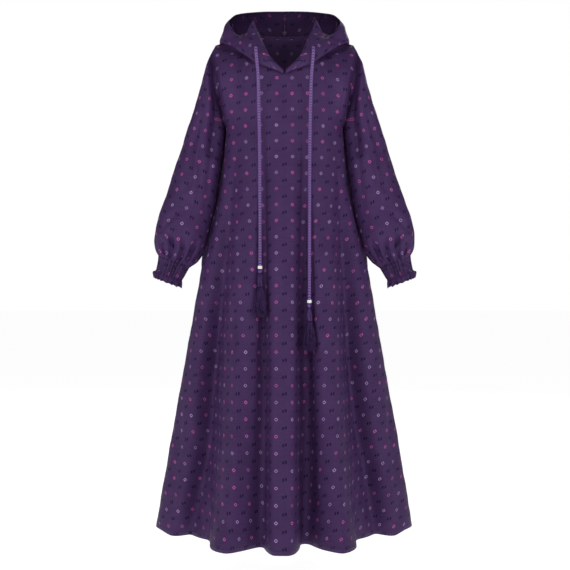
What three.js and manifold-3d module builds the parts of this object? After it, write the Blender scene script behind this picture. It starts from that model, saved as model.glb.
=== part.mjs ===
// A hooded, ankle-length abaya that keeps the hollow shape it has when it is worn: a flared front and
// back, long sleeves that balloon over gathered cuffs, and a laid-back hood with two braided drawcords
// that end in tassels. Millimetres. +Z is up, the front faces -Y and the wearer's left is +X. The origin
// is midway between the shoulders.
import * as THREE from "three";
import { mergeVertices } from "three/addons/utils/BufferGeometryUtils.js";
import Module from "manifold-3d";

const wasm = await Module();
wasm.setup();

const clothThickness = 1.5;
const seamGap = 0.4;

// The body from under the arms to the hem: sizes at the underarm, and how far each side runs out per mm
// of fall.
const body = {
  underarmZ: -232,
  hemZ: -1355,
  halfWidth: 163,
  frontDepth: 122,
  backDepth: 116,
  sideFlare: 0.177,
  frontFlare: 0.15,
  backFlare: 0.15,
  sleeveDent: 14,
  sleeveDentFall: 390,
  hemSideRise: 12,
  hemFullness: 0.9,
  chestFullness: 0.66,
  foldStart: 0.05,
  foldGrowth: 1.15,
};

// The body stands out a little behind each sleeve, from under the arm to where the sleeve leaves it.
const sideRidge = {
  at: 108,
  half: 16,
  heightAtUnderarm: 0.12,
  heightBelow: 0.19,
  growth: 240,
  start: 8,
  full: 36,
  fade: 340,
  end: 500,
};

// The folds that hang from the bust to the hem. Angles run from the front centre towards +X, in degrees:
// at under the arms and atHem. depth is the share of the body's radius that the fold takes at the hem,
// half its half-width.
const folds = [
  { at: -50, atHem: -57, depth: 0.31, half: 34 },
  { at: -15, atHem: -14.5, depth: 0.27, half: 11 },
  { at: 14, atHem: 13, depth: 0.38, half: 12 },
  { at: 50, atHem: 57, depth: 0.34, half: 36 },
  { at: 112, atHem: 116, depth: 0.28, half: 23 },
  { at: 150, atHem: 149, depth: 0.25, half: 14 },
  { at: 181, atHem: 180, depth: 0.33, half: 14 },
  { at: 211, atHem: 212, depth: 0.26, half: 14 },
  { at: 248, atHem: 244, depth: 0.28, half: 23 },
];

// How many strips each panel is divided into.
const grid = {
  armholeRows: 12,
  skirtRows: 11,
  frontNeckColumns: 11,
  shoulderColumns: 7,
  backNeckColumns: 7,
  sleeveRows: 13,
  cuffRows: 6,
  hoodRows: 13,
};

// The neckline from the front point to the shoulder, and on to the nape, for the +X side.
const frontNeckline = [
  [0, -100, -96],
  [28, -104, -87],
  [57, -104, -76],
  [77, -96, -60],
  [92, -76, -35],
  [100, -45, -2],
  [102, -5, 27],
];
const backNeckline = [
  [102, -5, 27],
  [94, 40, 36],
  [70, 72, 39],
  [38, 86, 40],
  [0, 90, 40],
];
const shoulderEnd = [196, 5, 5];

// The armhole's front and back curves, from the underarm to the shoulder end, as the two middle points of
// a Bezier.
const armhole = {
  frontLow: [180, -90, -210],
  frontHigh: [216, -98, -72],
  backLow: [180, 88, -210],
  backHigh: [216, 102, -68],
};

// The sleeve's rings below the armhole: the edge next to the body and the outer edge, each as x and z, how
// far forward of the shoulder the ring's middle is, its half-depth, how far its front and back bow out along
// x and z, and how deep its gathers are.
const sleeveRings = [
  { inner: [173, -249], outer: [210, -31], forward: 1, depth: 76, bow: [13, -2], gather: 0 },
  { inner: [170, -293], outer: [235, -121], forward: 5, depth: 73, bow: [7, 5], gather: 0 },
  { inner: [175.5, -350], outer: [261, -207], forward: 9, depth: 71, bow: [2, 3], gather: 0 },
  { inner: [183, -406], outer: [288, -291], forward: 14, depth: 69, bow: [0, 0], gather: 0 },
  { inner: [192.5, -458], outer: [315, -375], forward: 18, depth: 68, bow: [0, 0], gather: 0 },
  { inner: [203, -505], outer: [341, -455], forward: 22, depth: 67, bow: [0, 0], gather: 0.6 },
  { inner: [213.5, -545], outer: [357, -508], forward: 24, depth: 67, bow: [0, 0], gather: 2 },
  { inner: [225, -580], outer: [359, -548], forward: 25, depth: 64, bow: [0, 0], gather: 4 },
  { inner: [244, -603], outer: [352, -575], forward: 26, depth: 55, bow: [0, 0], gather: 6 },
  { inner: [269, -622], outer: [345, -590], forward: 26, depth: 41, bow: [0, 0], gather: 4.5 },
];

// The cuff's rings below the gathers: an elastic band and a frill.
const cuffRings = [
  { inner: [276, -636], outer: [348, -604], forward: 26, depth: 37, pucker: 1.8, wave: 0 },
  { inner: [282, -647], outer: [351, -618], forward: 26, depth: 36, pucker: 1.8, wave: 0 },
  { inner: [287, -655], outer: [354, -629], forward: 26, depth: 36, pucker: 1.6, wave: 0.5 },
  { inner: [287, -665], outer: [364, -632], forward: 26, depth: 40, pucker: 0.6, wave: 3.5 },
  { inner: [289, -676], outer: [362, -648], forward: 26, depth: 43, pucker: 0, wave: 5 },
];

// Sections of half the hood, from the front point (at 0) round to the nape (at 1). Each runs from the
// neckline over a low stand, down to its lowest edge on the shoulders, up its outside, over a hollow and up
// to the rim.
const hoodSections = [
  { at: 0, low: [2, -109, -99], wall: [3, -115, -94], hollow: [5, -114, -88], rim: [6, -108, -85] },
  { at: 0.0625, low: [28, -116, -87], wall: [27, -121, -80], hollow: [25, -118, -73], rim: [23, -110, -69] },
  { at: 0.125, low: [60, -121, -77], wall: [55, -126, -64], hollow: [49, -120, -53], rim: [42, -108, -46] },
  { at: 0.1875, low: [80, -119, -67], wall: [73, -125, -44], hollow: [65, -114, -27], rim: [56, -93, -14] },
  { at: 0.25, low: [97, -111, -54], wall: [86, -115, -26], hollow: [76, -99, -4], rim: [67, -77, 12] },
  { at: 0.3125, low: [112, -99, -41], wall: [98, -102, -12], hollow: [86, -82, 12], rim: [78, -60, 37] },
  { at: 0.375, low: [127, -86, -29], wall: [110, -87, -3], hollow: [97, -68, 18], rim: [86, -48, 60] },
  { at: 0.4375, low: [141, -71, -18], wall: [122, -70, 5], hollow: [110, -54, 13], rim: [103, -37, 32] },
  { at: 0.5, low: [154, -55, -9], wall: [135, -56, 13], hollow: [126, -47, 17], rim: [119, -37, 17] },
  { at: 0.5625, low: [166, -38, -1], wall: [150, -46, 18], hollow: [142, -44, 25], rim: [136, -40, 27] },
  { at: 0.625, low: [175, -20, 6], wall: [166, -30, 28], hollow: [157, -29, 38], rim: [148, -25, 47] },
  { at: 0.6875, low: [181, 6, 11], wall: [173, 4, 40], hollow: [166, 4, 55], rim: [157, 4, 68] },
  { at: 0.75, low: [177, 56, -8], wall: [175, 66, 42], hollow: [167, 60, 70], rim: [153, 48, 90] },
  { at: 0.8125, low: [152, 108, -48], wall: [162, 128, 34], hollow: [155, 118, 82], rim: [138, 92, 112] },
  { at: 0.875, low: [110, 142, -88], wall: [126, 176, 14], hollow: [117, 162, 92], rim: [101, 130, 127] },
  { at: 0.9375, low: [58, 158, -115], wall: [70, 202, 4], hollow: [63, 185, 92], rim: [53, 148, 135] },
  { at: 1, low: [0, 164, -124], wall: [0, 210, 0], hollow: [0, 194, 90], rim: [0, 156, 137] },
];
const hoodStand = 7;
const hoodClearance = 3.2;

// The drawcords: where each runs, from its eyelet in the hood's casing down the front to the end in its bead.
const cordRadius = 4.25;
const cordSides = 10;
const cordSteps = 38;
const cordRoutes = {
  cord_left: [
    [77.5, -122.9, -31.5],
    [77.5, -129.4, -35],
    [77.2, -132.6, -43],
    [76.6, -132.2, -56],
    [75.6, -131.4, -70],
    [72.4, -128.2, -110],
    [69.7, -126.6, -198],
    [68.5, -127.2, -266],
    [67.4, -137.8, -362],
    [66.9, -147.8, -443],
    [66.4, -156.5, -523],
    [66, -163, -603],
    [65.9, -167.6, -656],
    [65.8, -171.6, -694],
    [65.8, -172, -718],
  ],
  cord_right: [
    [-76.7, -122.9, -31.5],
    [-76.6, -129.4, -35],
    [-76, -132.6, -43],
    [-75, -132.2, -56],
    [-73.8, -131.4, -70],
    [-70.5, -128.2, -110],
    [-68.7, -126.8, -198],
    [-67.1, -127.6, -266],
    [-66, -138.6, -362],
    [-65.3, -149, -443],
    [-64.8, -158.2, -523],
    [-64.6, -164.8, -572],
    [-64.6, -168.6, -606],
    [-64.6, -169, -628],
  ],
};

// A bead on each cord's end, and the tassel that hangs below it from a knot.
const bead = { radius: 6.5, height: 9.2, bore: 4.65, rise: 5.6, sides: 16 };
const tassel = {
  gap: 0.5,
  lean: 7,
  sides: 12,
  // The knot and the bound head, as the radius at each depth below the cord's end.
  outline: [
    [3, 0],
    [5.4, 2.4],
    [5.6, 7],
    [3.5, 10.6],
    [5.7, 14],
    [6.6, 20],
    [6.5, 36],
    [5.8, 45],
  ],
  locks: 18,
  lockRadius: 2.3,
  lockSides: 3,
  lockSteps: 2,
  rootDepth: 42,
  rootSpread: 4.2,
  tipDepth: 124,
  tipSpread: [18.5, 6.4],
  tipForward: 15.5,
};

const colours = {
  cloth: 0x46305a,
  cord: 0x8a62b4,
  bead: 0xf4f2f4,
  tassel: 0x2c1c3c,
};

const mix = (a, b, t) => a + (b - a) * t;
const point = ([x, y, z]) => new THREE.Vector3(x, y, z);
const radians = (degrees) => (degrees * Math.PI) / 180;
const smooth = (t) => {
  const c = Math.min(1, Math.max(0, t));
  return c * c * (3 - 2 * c);
};

// A curve through rows of a table, read at any share of its length in rows.
function curveThrough(points) {
  const curve = new THREE.CatmullRomCurve3(points, false, "centripetal");
  return (share) => curve.getPoint(Math.min(1, Math.max(0, share)));
}

// How far an angle is from another, from -180 to 180 degrees.
const awayFrom = (angle, middle) => ((((angle - middle) % 360) + 540) % 360) - 180;

// The share that the ridges behind the sleeves add at an angle and a fall below the underarm.
function ridgeShare(angle, drop) {
  const rise = smooth((drop - sideRidge.start) / (sideRidge.full - sideRidge.start));
  const fade = 1 - smooth((drop - sideRidge.fade) / (sideRidge.end - sideRidge.fade));
  const height = mix(sideRidge.heightAtUnderarm, sideRidge.heightBelow, smooth(drop / sideRidge.growth));
  let share = 0;
  for (const middle of [sideRidge.at, -sideRidge.at]) {
    const away = awayFrom(angle, middle) / sideRidge.half;
    if (Math.abs(away) < 1) share += height * rise * fade * Math.cos((Math.PI / 2) * away) ** 2;
  }
  return share;
}

// The share of the body's radius that is left at an angle and a share of the fall, after the folds.
function foldedShare(angle, fall) {
  const strength = body.foldStart + (1 - body.foldStart) * fall ** body.foldGrowth;
  let share = 1;
  for (const fold of folds) {
    const middle = mix(fold.at, fold.atHem, fall ** 3);
    const away = awayFrom(angle, middle);
    if (Math.abs(away) < fold.half) {
      share -= fold.depth * strength * Math.cos((Math.PI / 2) * (away / fold.half)) ** 2;
    }
  }
  return share;
}

// A point of the body below the underarm.
function skirtPoint(angle, fall) {
  const sideways = Math.abs(Math.sin(radians(angle)));
  const hemZ = body.hemZ + body.hemSideRise * smooth((sideways - 0.97) / 0.03);
  const z = mix(body.underarmZ, hemZ, fall);
  const drop = body.underarmZ - z;
  const share = foldedShare(angle, fall) + ridgeShare(angle, drop);
  const turn = radians(angle);
  const facesFront = Math.cos(turn) > 0;
  const depth = facesFront
    ? body.frontDepth + body.frontFlare * drop
    : body.backDepth + body.backFlare * drop;
  const dent = body.sleeveDent * Math.sin(Math.PI * Math.min(1, drop / body.sleeveDentFall));
  const width = body.halfWidth + body.sideFlare * drop - dent;
  const fullness = mix(body.chestFullness, body.hemFullness, smooth(1.6 * fall));
  const forward = Math.sign(Math.cos(turn)) * Math.abs(Math.cos(turn)) ** fullness;
  return new THREE.Vector3(width * share * Math.sin(turn), -depth * share * forward, z);
}

// One half of the front or back, above the underarm: columns run from the centre (across 0) to the armhole
// (across 1), and rise from the underarm (rise 0) to the neckline and the shoulder seam (rise 1).
function upperHalf(isFront) {
  const neckline = curveThrough((isFront ? frontNeckline : [...backNeckline].reverse()).map(point));
  const neckColumns = isFront ? grid.frontNeckColumns : grid.backNeckColumns;
  const shoulderColumns = grid.shoulderColumns;
  const columns = neckColumns + shoulderColumns;
  const neckPoint = point(backNeckline[0]);
  const end = point(shoulderEnd);
  const forward = isFront ? -1 : 1;
  const armholeCurve = new THREE.CubicBezierCurve3(
    new THREE.Vector3(body.halfWidth * foldedShare(90, 0), 0, body.underarmZ),
    point(isFront ? armhole.frontLow : armhole.backLow),
    point(isFront ? armhole.frontHigh : armhole.backHigh),
    end,
  );
  const topOf = (column) =>
    column <= neckColumns
      ? neckline(column / neckColumns)
      : neckPoint.clone().lerp(end, (column - neckColumns) / shoulderColumns);
  const plain = (column, rise) => {
    const across = column / columns;
    const start = skirtPoint(isFront ? 90 * across : 180 - 90 * across, 0);
    const top = topOf(column);
    const reach = start.distanceTo(top);
    const lean = smooth((column - neckColumns * 0.4) / (neckColumns * 0.8));
    const startPull = new THREE.Vector3(-0.1 * across, -forward * 0.12 * (1 - across), 1);
    startPull.multiplyScalar(reach);
    const endLean = -forward * mix(isFront ? 0.1 : 0.45, 0.9, lean);
    const endPull = new THREE.Vector3(0, endLean, mix(1, 0.45, lean));
    endPull.multiplyScalar(reach);
    const r2 = rise * rise;
    const r3 = r2 * rise;
    return new THREE.Vector3()
      .addScaledVector(start, 2 * r3 - 3 * r2 + 1)
      .addScaledVector(startPull, r3 - 2 * r2 + rise)
      .addScaledVector(top, 3 * r2 - 2 * r3)
      .addScaledVector(endPull, r3 - r2);
  };
  return (column, rise) => {
    const made = plain(column, rise);
    const pull = (column / columns) ** (1.7 + 3.5 * (1 - rise) ** 3);
    return made.addScaledVector(armholeCurve.getPoint(rise).sub(plain(columns, rise)), pull);
  };
}

const mirror = (p) => new THREE.Vector3(-p.x, p.y, p.z);

// The front or back panel, in rows from the hem up, each row from one side seam to the other as seen from
// outside.
function bodyPanel(isFront) {
  const upper = upperHalf(isFront);
  const half = (isFront ? grid.frontNeckColumns : grid.backNeckColumns) + grid.shoulderColumns;
  const rows = [];
  for (let row = 0; row <= grid.skirtRows; row++) {
    const fall = 1 - row / grid.skirtRows;
    rows.push([]);
    for (let column = -half; column <= half; column++) {
      const angle = (90 * column) / half;
      rows[row].push(skirtPoint(isFront ? angle : 180 - angle, fall));
    }
  }
  for (let row = 1; row <= grid.armholeRows; row++) {
    const line = [];
    for (let column = -half; column <= half; column++) {
      const made = upper(Math.abs(column), row / grid.armholeRows);
      line.push(column < 0 ? mirror(made) : made);
    }
    rows.push(line);
  }
  return rows;
}

const frontRows = bodyPanel(true);
const backRows = bodyPanel(false);

// A ring of the sleeve or cuff, as a function of its column: 0 next to the body, then round by the front.
function ringPoint(ring, column, columns, bulge) {
  const turn = (2 * Math.PI * column) / columns;
  const inward = (1 + Math.cos(turn)) / 2;
  const made = new THREE.Vector3(
    mix(ring.outer[0], ring.inner[0], inward),
    -ring.forward - ring.depth * Math.sin(turn),
    mix(ring.outer[1], ring.inner[1], inward),
  );
  const middle = new THREE.Vector3(
    (ring.outer[0] + ring.inner[0]) / 2,
    -ring.forward,
    (ring.outer[1] + ring.inner[1]) / 2,
  );
  const out = made.clone().sub(middle).normalize();
  if (ring.bow) {
    made.addScaledVector(new THREE.Vector3(ring.bow[0], 0, ring.bow[1]), Math.sin(turn) ** 2);
  }
  return made.addScaledVector(out, bulge);
}

// The armhole of the +X side as a ring: from the underarm up the front edge, over the shoulder and down
// the back.
function armholeRing() {
  const frontEdge = [];
  const backEdge = [];
  for (let row = 0; row <= grid.armholeRows; row++) {
    frontEdge.push(frontRows[grid.skirtRows + row].at(-1).clone());
    backEdge.push(backRows[grid.skirtRows + row].at(-1).clone());
  }
  return [...frontEdge, ...backEdge.slice(1, -1).reverse()];
}

const sleeveColumns = 2 * grid.armholeRows;

function sleeveRows() {
  const start = armholeRing();
  const columns = start.map((first, column) => {
    const sign = column % 2 === 0 ? 1 : -1;
    return curveThrough([
      first,
      ...sleeveRings.map((ring) => ringPoint(ring, column, sleeveColumns, sign * ring.gather)),
    ]);
  });
  const rows = [];
  for (let row = 0; row <= grid.sleeveRows; row++) {
    rows.push(columns.map((column) => column(row / grid.sleeveRows)));
  }
  rows[0] = start;
  return rows;
}

// The cuff starts on the sleeve's last ring, with a point added between each two of its points.
function cuffRows(lastSleeveRow) {
  const count = 2 * sleeveColumns;
  const first = [];
  lastSleeveRow.forEach((p, column) => {
    first.push(p.clone(), p.clone().lerp(lastSleeveRow[(column + 1) % sleeveColumns], 0.5));
  });
  const columns = first.map((start, column) => {
    const pucker = column % 2 === 0 ? 1 : -1;
    const wave = Math.sin((column / 4) * 2 * Math.PI);
    const below = cuffRings.map((ring) => {
      return ringPoint(ring, column, count, pucker * ring.pucker + wave * ring.wave);
    });
    return curveThrough([start, ...below]);
  });
  const rows = [];
  for (let row = 0; row <= grid.cuffRows; row++) {
    rows.push(columns.map((column) => column(row / grid.cuffRows)));
  }
  rows[0] = first;
  return rows;
}

// The height of the body's cloth above or below a point, if there is any over the same spot.
function bodyHeightAt(x, y) {
  let height = -Infinity;
  for (const rows of [frontRows, backRows]) {
    for (let row = grid.skirtRows; row + 1 < rows.length; row++) {
      for (let column = 0; column + 1 < rows[row].length; column++) {
        const [a, b] = [rows[row][column], rows[row][column + 1]];
        const [c, d] = [rows[row + 1][column + 1], rows[row + 1][column]];
        for (const [p, q, r] of [[a, b, c], [a, c, d]]) {
          const area = (q.x - p.x) * (r.y - p.y) - (r.x - p.x) * (q.y - p.y);
          if (Math.abs(area) < 1e-6) continue;
          const u = ((x - p.x) * (r.y - p.y) - (r.x - p.x) * (y - p.y)) / area;
          const v = ((q.x - p.x) * (y - p.y) - (x - p.x) * (q.y - p.y)) / area;
          if (u < 0 || v < 0 || u + v > 1) continue;
          height = Math.max(height, p.z + u * (q.z - p.z) + v * (r.z - p.z));
        }
      }
    }
  }
  return height;
}

// Half the hood for the +X side: each row runs from the front point round to the nape, the first on the
// neckline.
function hoodRows() {
  const lines = {};
  for (const name of ["low", "wall", "hollow", "rim"]) {
    lines[name] = curveThrough(hoodSections.map((section) => point(section[name])));
  }
  const frontColumns = frontRows.at(-1).length >> 1;
  const backColumns = backRows.at(-1).length >> 1;
  const seam = [];
  for (let column = 0; column <= grid.frontNeckColumns; column++) {
    seam.push(frontRows.at(-1)[frontColumns + column].clone());
  }
  for (let column = grid.backNeckColumns - 1; column >= 0; column--) {
    seam.push(backRows.at(-1)[backColumns + column].clone());
  }
  const standShare = 1 / 6;
  const columns = seam.map((start, column) => {
    const at = column / (seam.length - 1);
    const low = lines.low(at);
    const span = start.distanceTo(low);
    const lift = Math.min(1, span / 60);
    const out = low.clone().sub(start).setZ(0).normalize();
    const stand = start.clone().addScaledVector(out, mix(1.5, 4.5, lift));
    stand.z += mix(2.5, hoodStand, lift);
    const under = start.clone().lerp(low, 0.5);
    under.z += mix(1, 4, lift);
    return curveThrough([start, stand, under, low, lines.wall(at), lines.hollow(at), lines.rim(at)]);
  });
  const rows = [];
  for (let row = 0; row <= grid.hoodRows; row++) {
    const share = mix(standShare, 1, (row - 1) / (grid.hoodRows - 1));
    rows.push(columns.map((column) => column(share)));
    for (const p of rows[row]) p.z = Math.max(p.z, bodyHeightAt(p.x, p.y) + hoodClearance);
  }
  rows[0] = seam;
  return rows;
}

// Panels of cloth. Each holds rows of points on the cloth's outer face; turned says that a row runs the
// other way round, and closed that its ends meet.
const panels = [];
function addPanel(name, rows, turned = false, closed = false) {
  panels.push({ name, rows, turned, closed, onEveryOther: name.startsWith("cuff") });
}
const mirrorRows = (rows) => rows.map((row) => row.map(mirror));

const sleeve = sleeveRows();
const cuff = cuffRows(sleeve.at(-1));
const hood = hoodRows();
addPanel("front", frontRows);
addPanel("back", backRows, true);
addPanel("sleeve_left", sleeve, true, true);
addPanel("sleeve_right", mirrorRows(sleeve), false, true);
addPanel("cuff_left", cuff, true, true);
addPanel("cuff_right", mirrorRows(cuff), false, true);
addPanel("hood_left", hood);
addPanel("hood_right", mirrorRows(hood), true);

// Two triangles for each cell of a panel, facing out. The front and back are split alike on both sides of
// the centre.
function panelTriangles({ name, rows, turned, closed }) {
  const mirrored = /front|back/.test(name);
  const across = rows[0].length;
  const cells = closed ? across : across - 1;
  const triangles = [];
  for (let row = 0; row + 1 < rows.length; row++) {
    for (let column = 0; column < cells; column++) {
      const next = (column + 1) % across;
      const a = row * across + column;
      const b = row * across + next;
      const c = (row + 1) * across + next;
      const d = (row + 1) * across + column;
      const flipped = mirrored && column < cells / 2;
      const split = flipped ? [[a, b, d], [b, c, d]] : [[a, b, c], [a, c, d]];
      triangles.push(...split.map(([p, q, r]) => (turned ? [p, r, q] : [p, q, r])));
    }
  }
  return triangles;
}

// The outward direction at each point. The body, the sleeves with their cuffs, and the hood are each
// averaged on their own first, so that where two of them meet the direction lies midway between the cloths.
const placeKey = (p) => [p.x, p.y, p.z].map((value) => Math.round(value * 50)).join(" ");
const familyOf = (name) => (/front|back/.test(name) ? "body" : /hood/.test(name) ? "hood" : "sleeve");
const families = new Map();
const remember = (name, p) => {
  const key = placeKey(p);
  if (!families.has(key)) families.set(key, {});
  const held = families.get(key);
  const family = familyOf(name);
  held[family] ??= { normal: new THREE.Vector3(), into: new THREE.Vector3() };
  return held[family];
};
for (const panel of panels) {
  const points = panel.rows.flat();
  for (const [a, b, c] of panelTriangles(panel)) {
    const side = points[c].clone().sub(points[a]);
    const normal = points[b].clone().sub(points[a]).cross(side).normalize();
    for (const corner of [a, b, c]) {
      const held = remember(panel.name, points[corner]);
      held.normal.add(normal);
      for (const other of [a, b, c]) held.into.add(points[other].clone().sub(points[corner]));
    }
  }
}
function outwardAt(p) {
  const held = Object.values(families.get(placeKey(p)));
  if (held.length === 1) return held[0].normal.clone().normalize();
  const [first, second] = held.map(({ normal, into }) => {
    const n = normal.clone().normalize();
    return { n, b: into.clone().addScaledVector(n, -into.dot(n)).normalize() };
  });
  const hollow = first.n.dot(second.b) + second.n.dot(first.b) > 0 ? 1 : -1;
  const sharp = smooth((-first.n.dot(second.n) - 0.3) / 0.4);
  const between = first.b.clone().add(second.b);
  return first.n.clone().add(second.n).addScaledVector(between, hollow * sharp).normalize();
}

// A panel as a closed wall: its outer face, the inner face under it, and its edges, drawn back from the
// seams.
function wallOf(panel) {
  const { rows, closed, turned } = panel;
  const across = rows[0].length;
  const outer = [];
  const inner = [];
  rows.forEach((row, r) => {
    row.forEach((p, c) => {
      const out = outwardAt(p);
      const back = new THREE.Vector3();
      const from = (q) => {
        const b = q.clone().sub(p).normalize();
        back.addScaledVector(b, 1 / Math.max(0.12, Math.sqrt(1 - b.dot(out) ** 2)));
      };
      if (r === 0) from(rows[1][c]);
      if (r === rows.length - 1) from(rows[r - 1][c]);
      if (!closed && c === 0) from(row[1]);
      if (!closed && c === across - 1) from(row[c - 1]);
      const drawn = p.clone().addScaledVector(back, seamGap / 2);
      outer.push(drawn);
      inner.push(drawn.clone().addScaledVector(out, -clothThickness));
    });
  });
  if (panel.onEveryOther) {
    for (let c = 1; c < across; c += 2) {
      for (const face of [outer, inner]) face[c].lerpVectors(face[c - 1], face[(c + 1) % across], 0.5);
    }
  }
  const count = outer.length;
  const faces = panelTriangles(panel);
  const triangles = [...faces, ...faces.map(([a, b, c]) => [a + count, c + count, b + count])];
  const edge = (a, b) => {
    const [p, q] = turned ? [b, a] : [a, b];
    triangles.push([q, p, p + count], [q, p + count, q + count]);
  };
  const last = (rows.length - 1) * across;
  const cells = closed ? across : across - 1;
  for (let c = 0; c < cells; c++) {
    const next = (c + 1) % across;
    edge(c, next);
    edge(last + next, last + c);
  }
  if (!closed) {
    for (let r = 0; r + 1 < rows.length; r++) {
      edge((r + 1) * across, r * across);
      edge(r * across + across - 1, (r + 1) * across + across - 1);
    }
  }
  const geometry = new THREE.BufferGeometry().setFromPoints([...outer, ...inner]);
  geometry.setIndex(triangles.flat());
  return geometry;
}

const materialOf = (color, roughness) => new THREE.MeshStandardMaterial({ color, roughness, metalness: 0 });
const materials = {
  cloth: materialOf(colours.cloth, 0.85),
  cord: materialOf(colours.cord, 0.7),
  bead: materialOf(colours.bead, 0.3),
  tassel: materialOf(colours.tassel, 0.5),
};

const abaya = new THREE.Group();
abaya.name = "abaya";
function addMesh(name, geometry, material) {
  geometry.computeVertexNormals();
  const mesh = new THREE.Mesh(geometry, material);
  mesh.name = name;
  abaya.add(mesh);
}
for (const panel of panels) addMesh(panel.name, wallOf(panel), materials.cloth);

function ringShape(radius, sides) {
  const corners = [];
  for (let k = 0; k < sides; k++) {
    const turn = (2 * Math.PI * k) / sides;
    corners.push(new THREE.Vector2(radius * Math.cos(turn), radius * Math.sin(turn)));
  }
  return new THREE.Shape(corners);
}

function tubeAlong(points, radius, sides, steps) {
  const path = new THREE.CatmullRomCurve3(points, false, "centripetal");
  const settings = { steps, extrudePath: path, curveSegments: 1 };
  return new THREE.ExtrudeGeometry(ringShape(radius, sides), settings);
}

// Turns a profile of radius and height into a closed body about the Z axis.
function turned(profile, sides) {
  const geometry = new THREE.LatheGeometry(profile.map(([r, z]) => new THREE.Vector2(r, z)), sides);
  return geometry.rotateX(Math.PI / 2);
}

function bareMesh(geometry) {
  const bare = new THREE.BufferGeometry();
  bare.setAttribute("position", geometry.getAttribute("position"));
  if (geometry.index) bare.setIndex(geometry.index);
  const merged = mergeVertices(bare, 1e-3);
  const index = [];
  for (let i = 0; i < merged.index.count; i += 3) {
    const corners = [0, 1, 2].map((k) => merged.index.getX(i + k));
    if (new Set(corners).size === 3) index.push(...corners);
  }
  return { positions: merged.getAttribute("position").array, index };
}

// Joins overlapping closed bodies into one.
function fused(geometries) {
  const solids = geometries.map((geometry) => {
    const { positions, index } = bareMesh(geometry);
    const triVerts = new Uint32Array(index);
    return new wasm.Manifold(new wasm.Mesh({ numProp: 3, vertProperties: positions, triVerts }));
  });
  const mesh = wasm.Manifold.union(solids).getMesh();
  const positions = new Float32Array(mesh.numVert * 3);
  for (let i = 0; i < mesh.numVert; i++) {
    positions.set(mesh.vertProperties.subarray(i * mesh.numProp, i * mesh.numProp + 3), i * 3);
  }
  const geometry = new THREE.BufferGeometry();
  geometry.setAttribute("position", new THREE.BufferAttribute(positions, 3));
  geometry.setIndex(new THREE.BufferAttribute(mesh.triVerts, 1));
  return geometry;
}

// The tassel with its top at the origin.
function tasselGeometry() {
  const outline = tassel.outline.map(([r, depth]) => [r, -depth]);
  const depths = outline.map(([, z]) => z);
  const head = turned([[0, depths.at(-1)], ...[...outline].reverse(), [0, depths[0]]], tassel.sides);
  head.rotateX(radians(-tassel.lean));
  const leanBy = (depth) => -depth * Math.tan(radians(tassel.lean));
  const bodies = [head];
  for (let k = 0; k < tassel.locks; k++) {
    const out = Math.sqrt((k + 0.5) / tassel.locks);
    const turn = k * 2.39996;
    const [c, s] = [out * Math.cos(turn), out * Math.sin(turn)];
    const tipDepth = tassel.tipDepth - 5 * out - 3 * Math.sin(5 * k);
    const rootForward = leanBy(tassel.rootDepth) + tassel.rootSpread * s;
    const root = new THREE.Vector3(tassel.rootSpread * c, rootForward, -tassel.rootDepth);
    const tipForward = tassel.tipSpread[1] * s - tassel.tipForward;
    const tip = new THREE.Vector3(tassel.tipSpread[0] * c, tipForward, -tipDepth);
    const bend = root.clone().lerp(tip, 0.5);
    bend.x += 0.12 * (tip.x - root.x) + 0.8 * Math.sin(7 * k);
    bodies.push(tubeAlong([root, bend, tip], tassel.lockRadius, tassel.lockSides, tassel.lockSteps));
  }
  return fused(bodies);
}

for (const side of ["left", "right"]) {
  const route = cordRoutes["cord_" + side].map(point);
  const end = route.at(-1);
  addMesh("cord_" + side, tubeAlong(route, cordRadius, cordSides, cordSteps), materials.cord);

  const { radius, height, bore } = bead;
  const half = height / 2;
  const profile = [
    [bore, -half],
    [radius * 0.86, -half],
    [radius, -half * 0.45],
    [radius, half * 0.45],
    [radius * 0.86, half],
    [bore, half],
    [bore, -half],
  ];
  const beadGeometry = turned(profile, bead.sides).translate(end.x, end.y, end.z + bead.rise);
  addMesh("bead_" + side, beadGeometry, materials.bead);
  const hung = tasselGeometry().translate(end.x, end.y, end.z - tassel.gap);
  addMesh("tassel_" + side, hung, materials.tassel);
}

export default abaya;
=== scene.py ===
import math
import bpy
import numpy as np
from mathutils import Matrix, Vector
from mathutils.bvhtree import BVHTree


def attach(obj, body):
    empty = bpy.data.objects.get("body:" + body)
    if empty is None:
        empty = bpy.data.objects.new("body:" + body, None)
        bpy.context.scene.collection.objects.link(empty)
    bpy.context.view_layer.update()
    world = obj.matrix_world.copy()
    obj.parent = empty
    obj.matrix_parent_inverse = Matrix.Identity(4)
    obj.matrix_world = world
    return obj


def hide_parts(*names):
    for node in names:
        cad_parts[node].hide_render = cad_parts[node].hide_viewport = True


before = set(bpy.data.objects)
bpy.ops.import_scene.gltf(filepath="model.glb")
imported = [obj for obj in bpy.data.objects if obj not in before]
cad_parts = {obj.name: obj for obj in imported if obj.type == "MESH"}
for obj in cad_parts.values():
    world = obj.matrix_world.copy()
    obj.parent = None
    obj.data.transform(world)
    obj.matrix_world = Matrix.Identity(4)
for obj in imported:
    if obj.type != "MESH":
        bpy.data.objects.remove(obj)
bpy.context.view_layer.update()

bpy.ops.object.select_all(action="DESELECT")

# The camera stands where the photographer stood. Places are in metres, the lens and sensor in millimetres.
# The photograph shows x = 0 in the pixel column, and the eye's height in the pixel row. Focal is the lens in
# pixels.
eyePlace = {
    "across": 0.0014, "away": 3.0, "height": -0.669, "lens": 67.64, "sensor": 36,
    "column": 284.5, "row": 285, "focal": 1071,
}
eye = bpy.data.objects.new("eye", bpy.data.cameras.new("eye"))
eye.data.sensor_width = eyePlace["sensor"]
eye.data.lens = eyePlace["lens"]
eye.location = (eyePlace["across"], -eyePlace["away"], eyePlace["height"])
eye.rotation_euler = (math.radians(90), 0, 0)
bpy.context.collection.objects.link(eye)
bpy.context.scene.camera = eye
print("camera placed")


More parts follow.
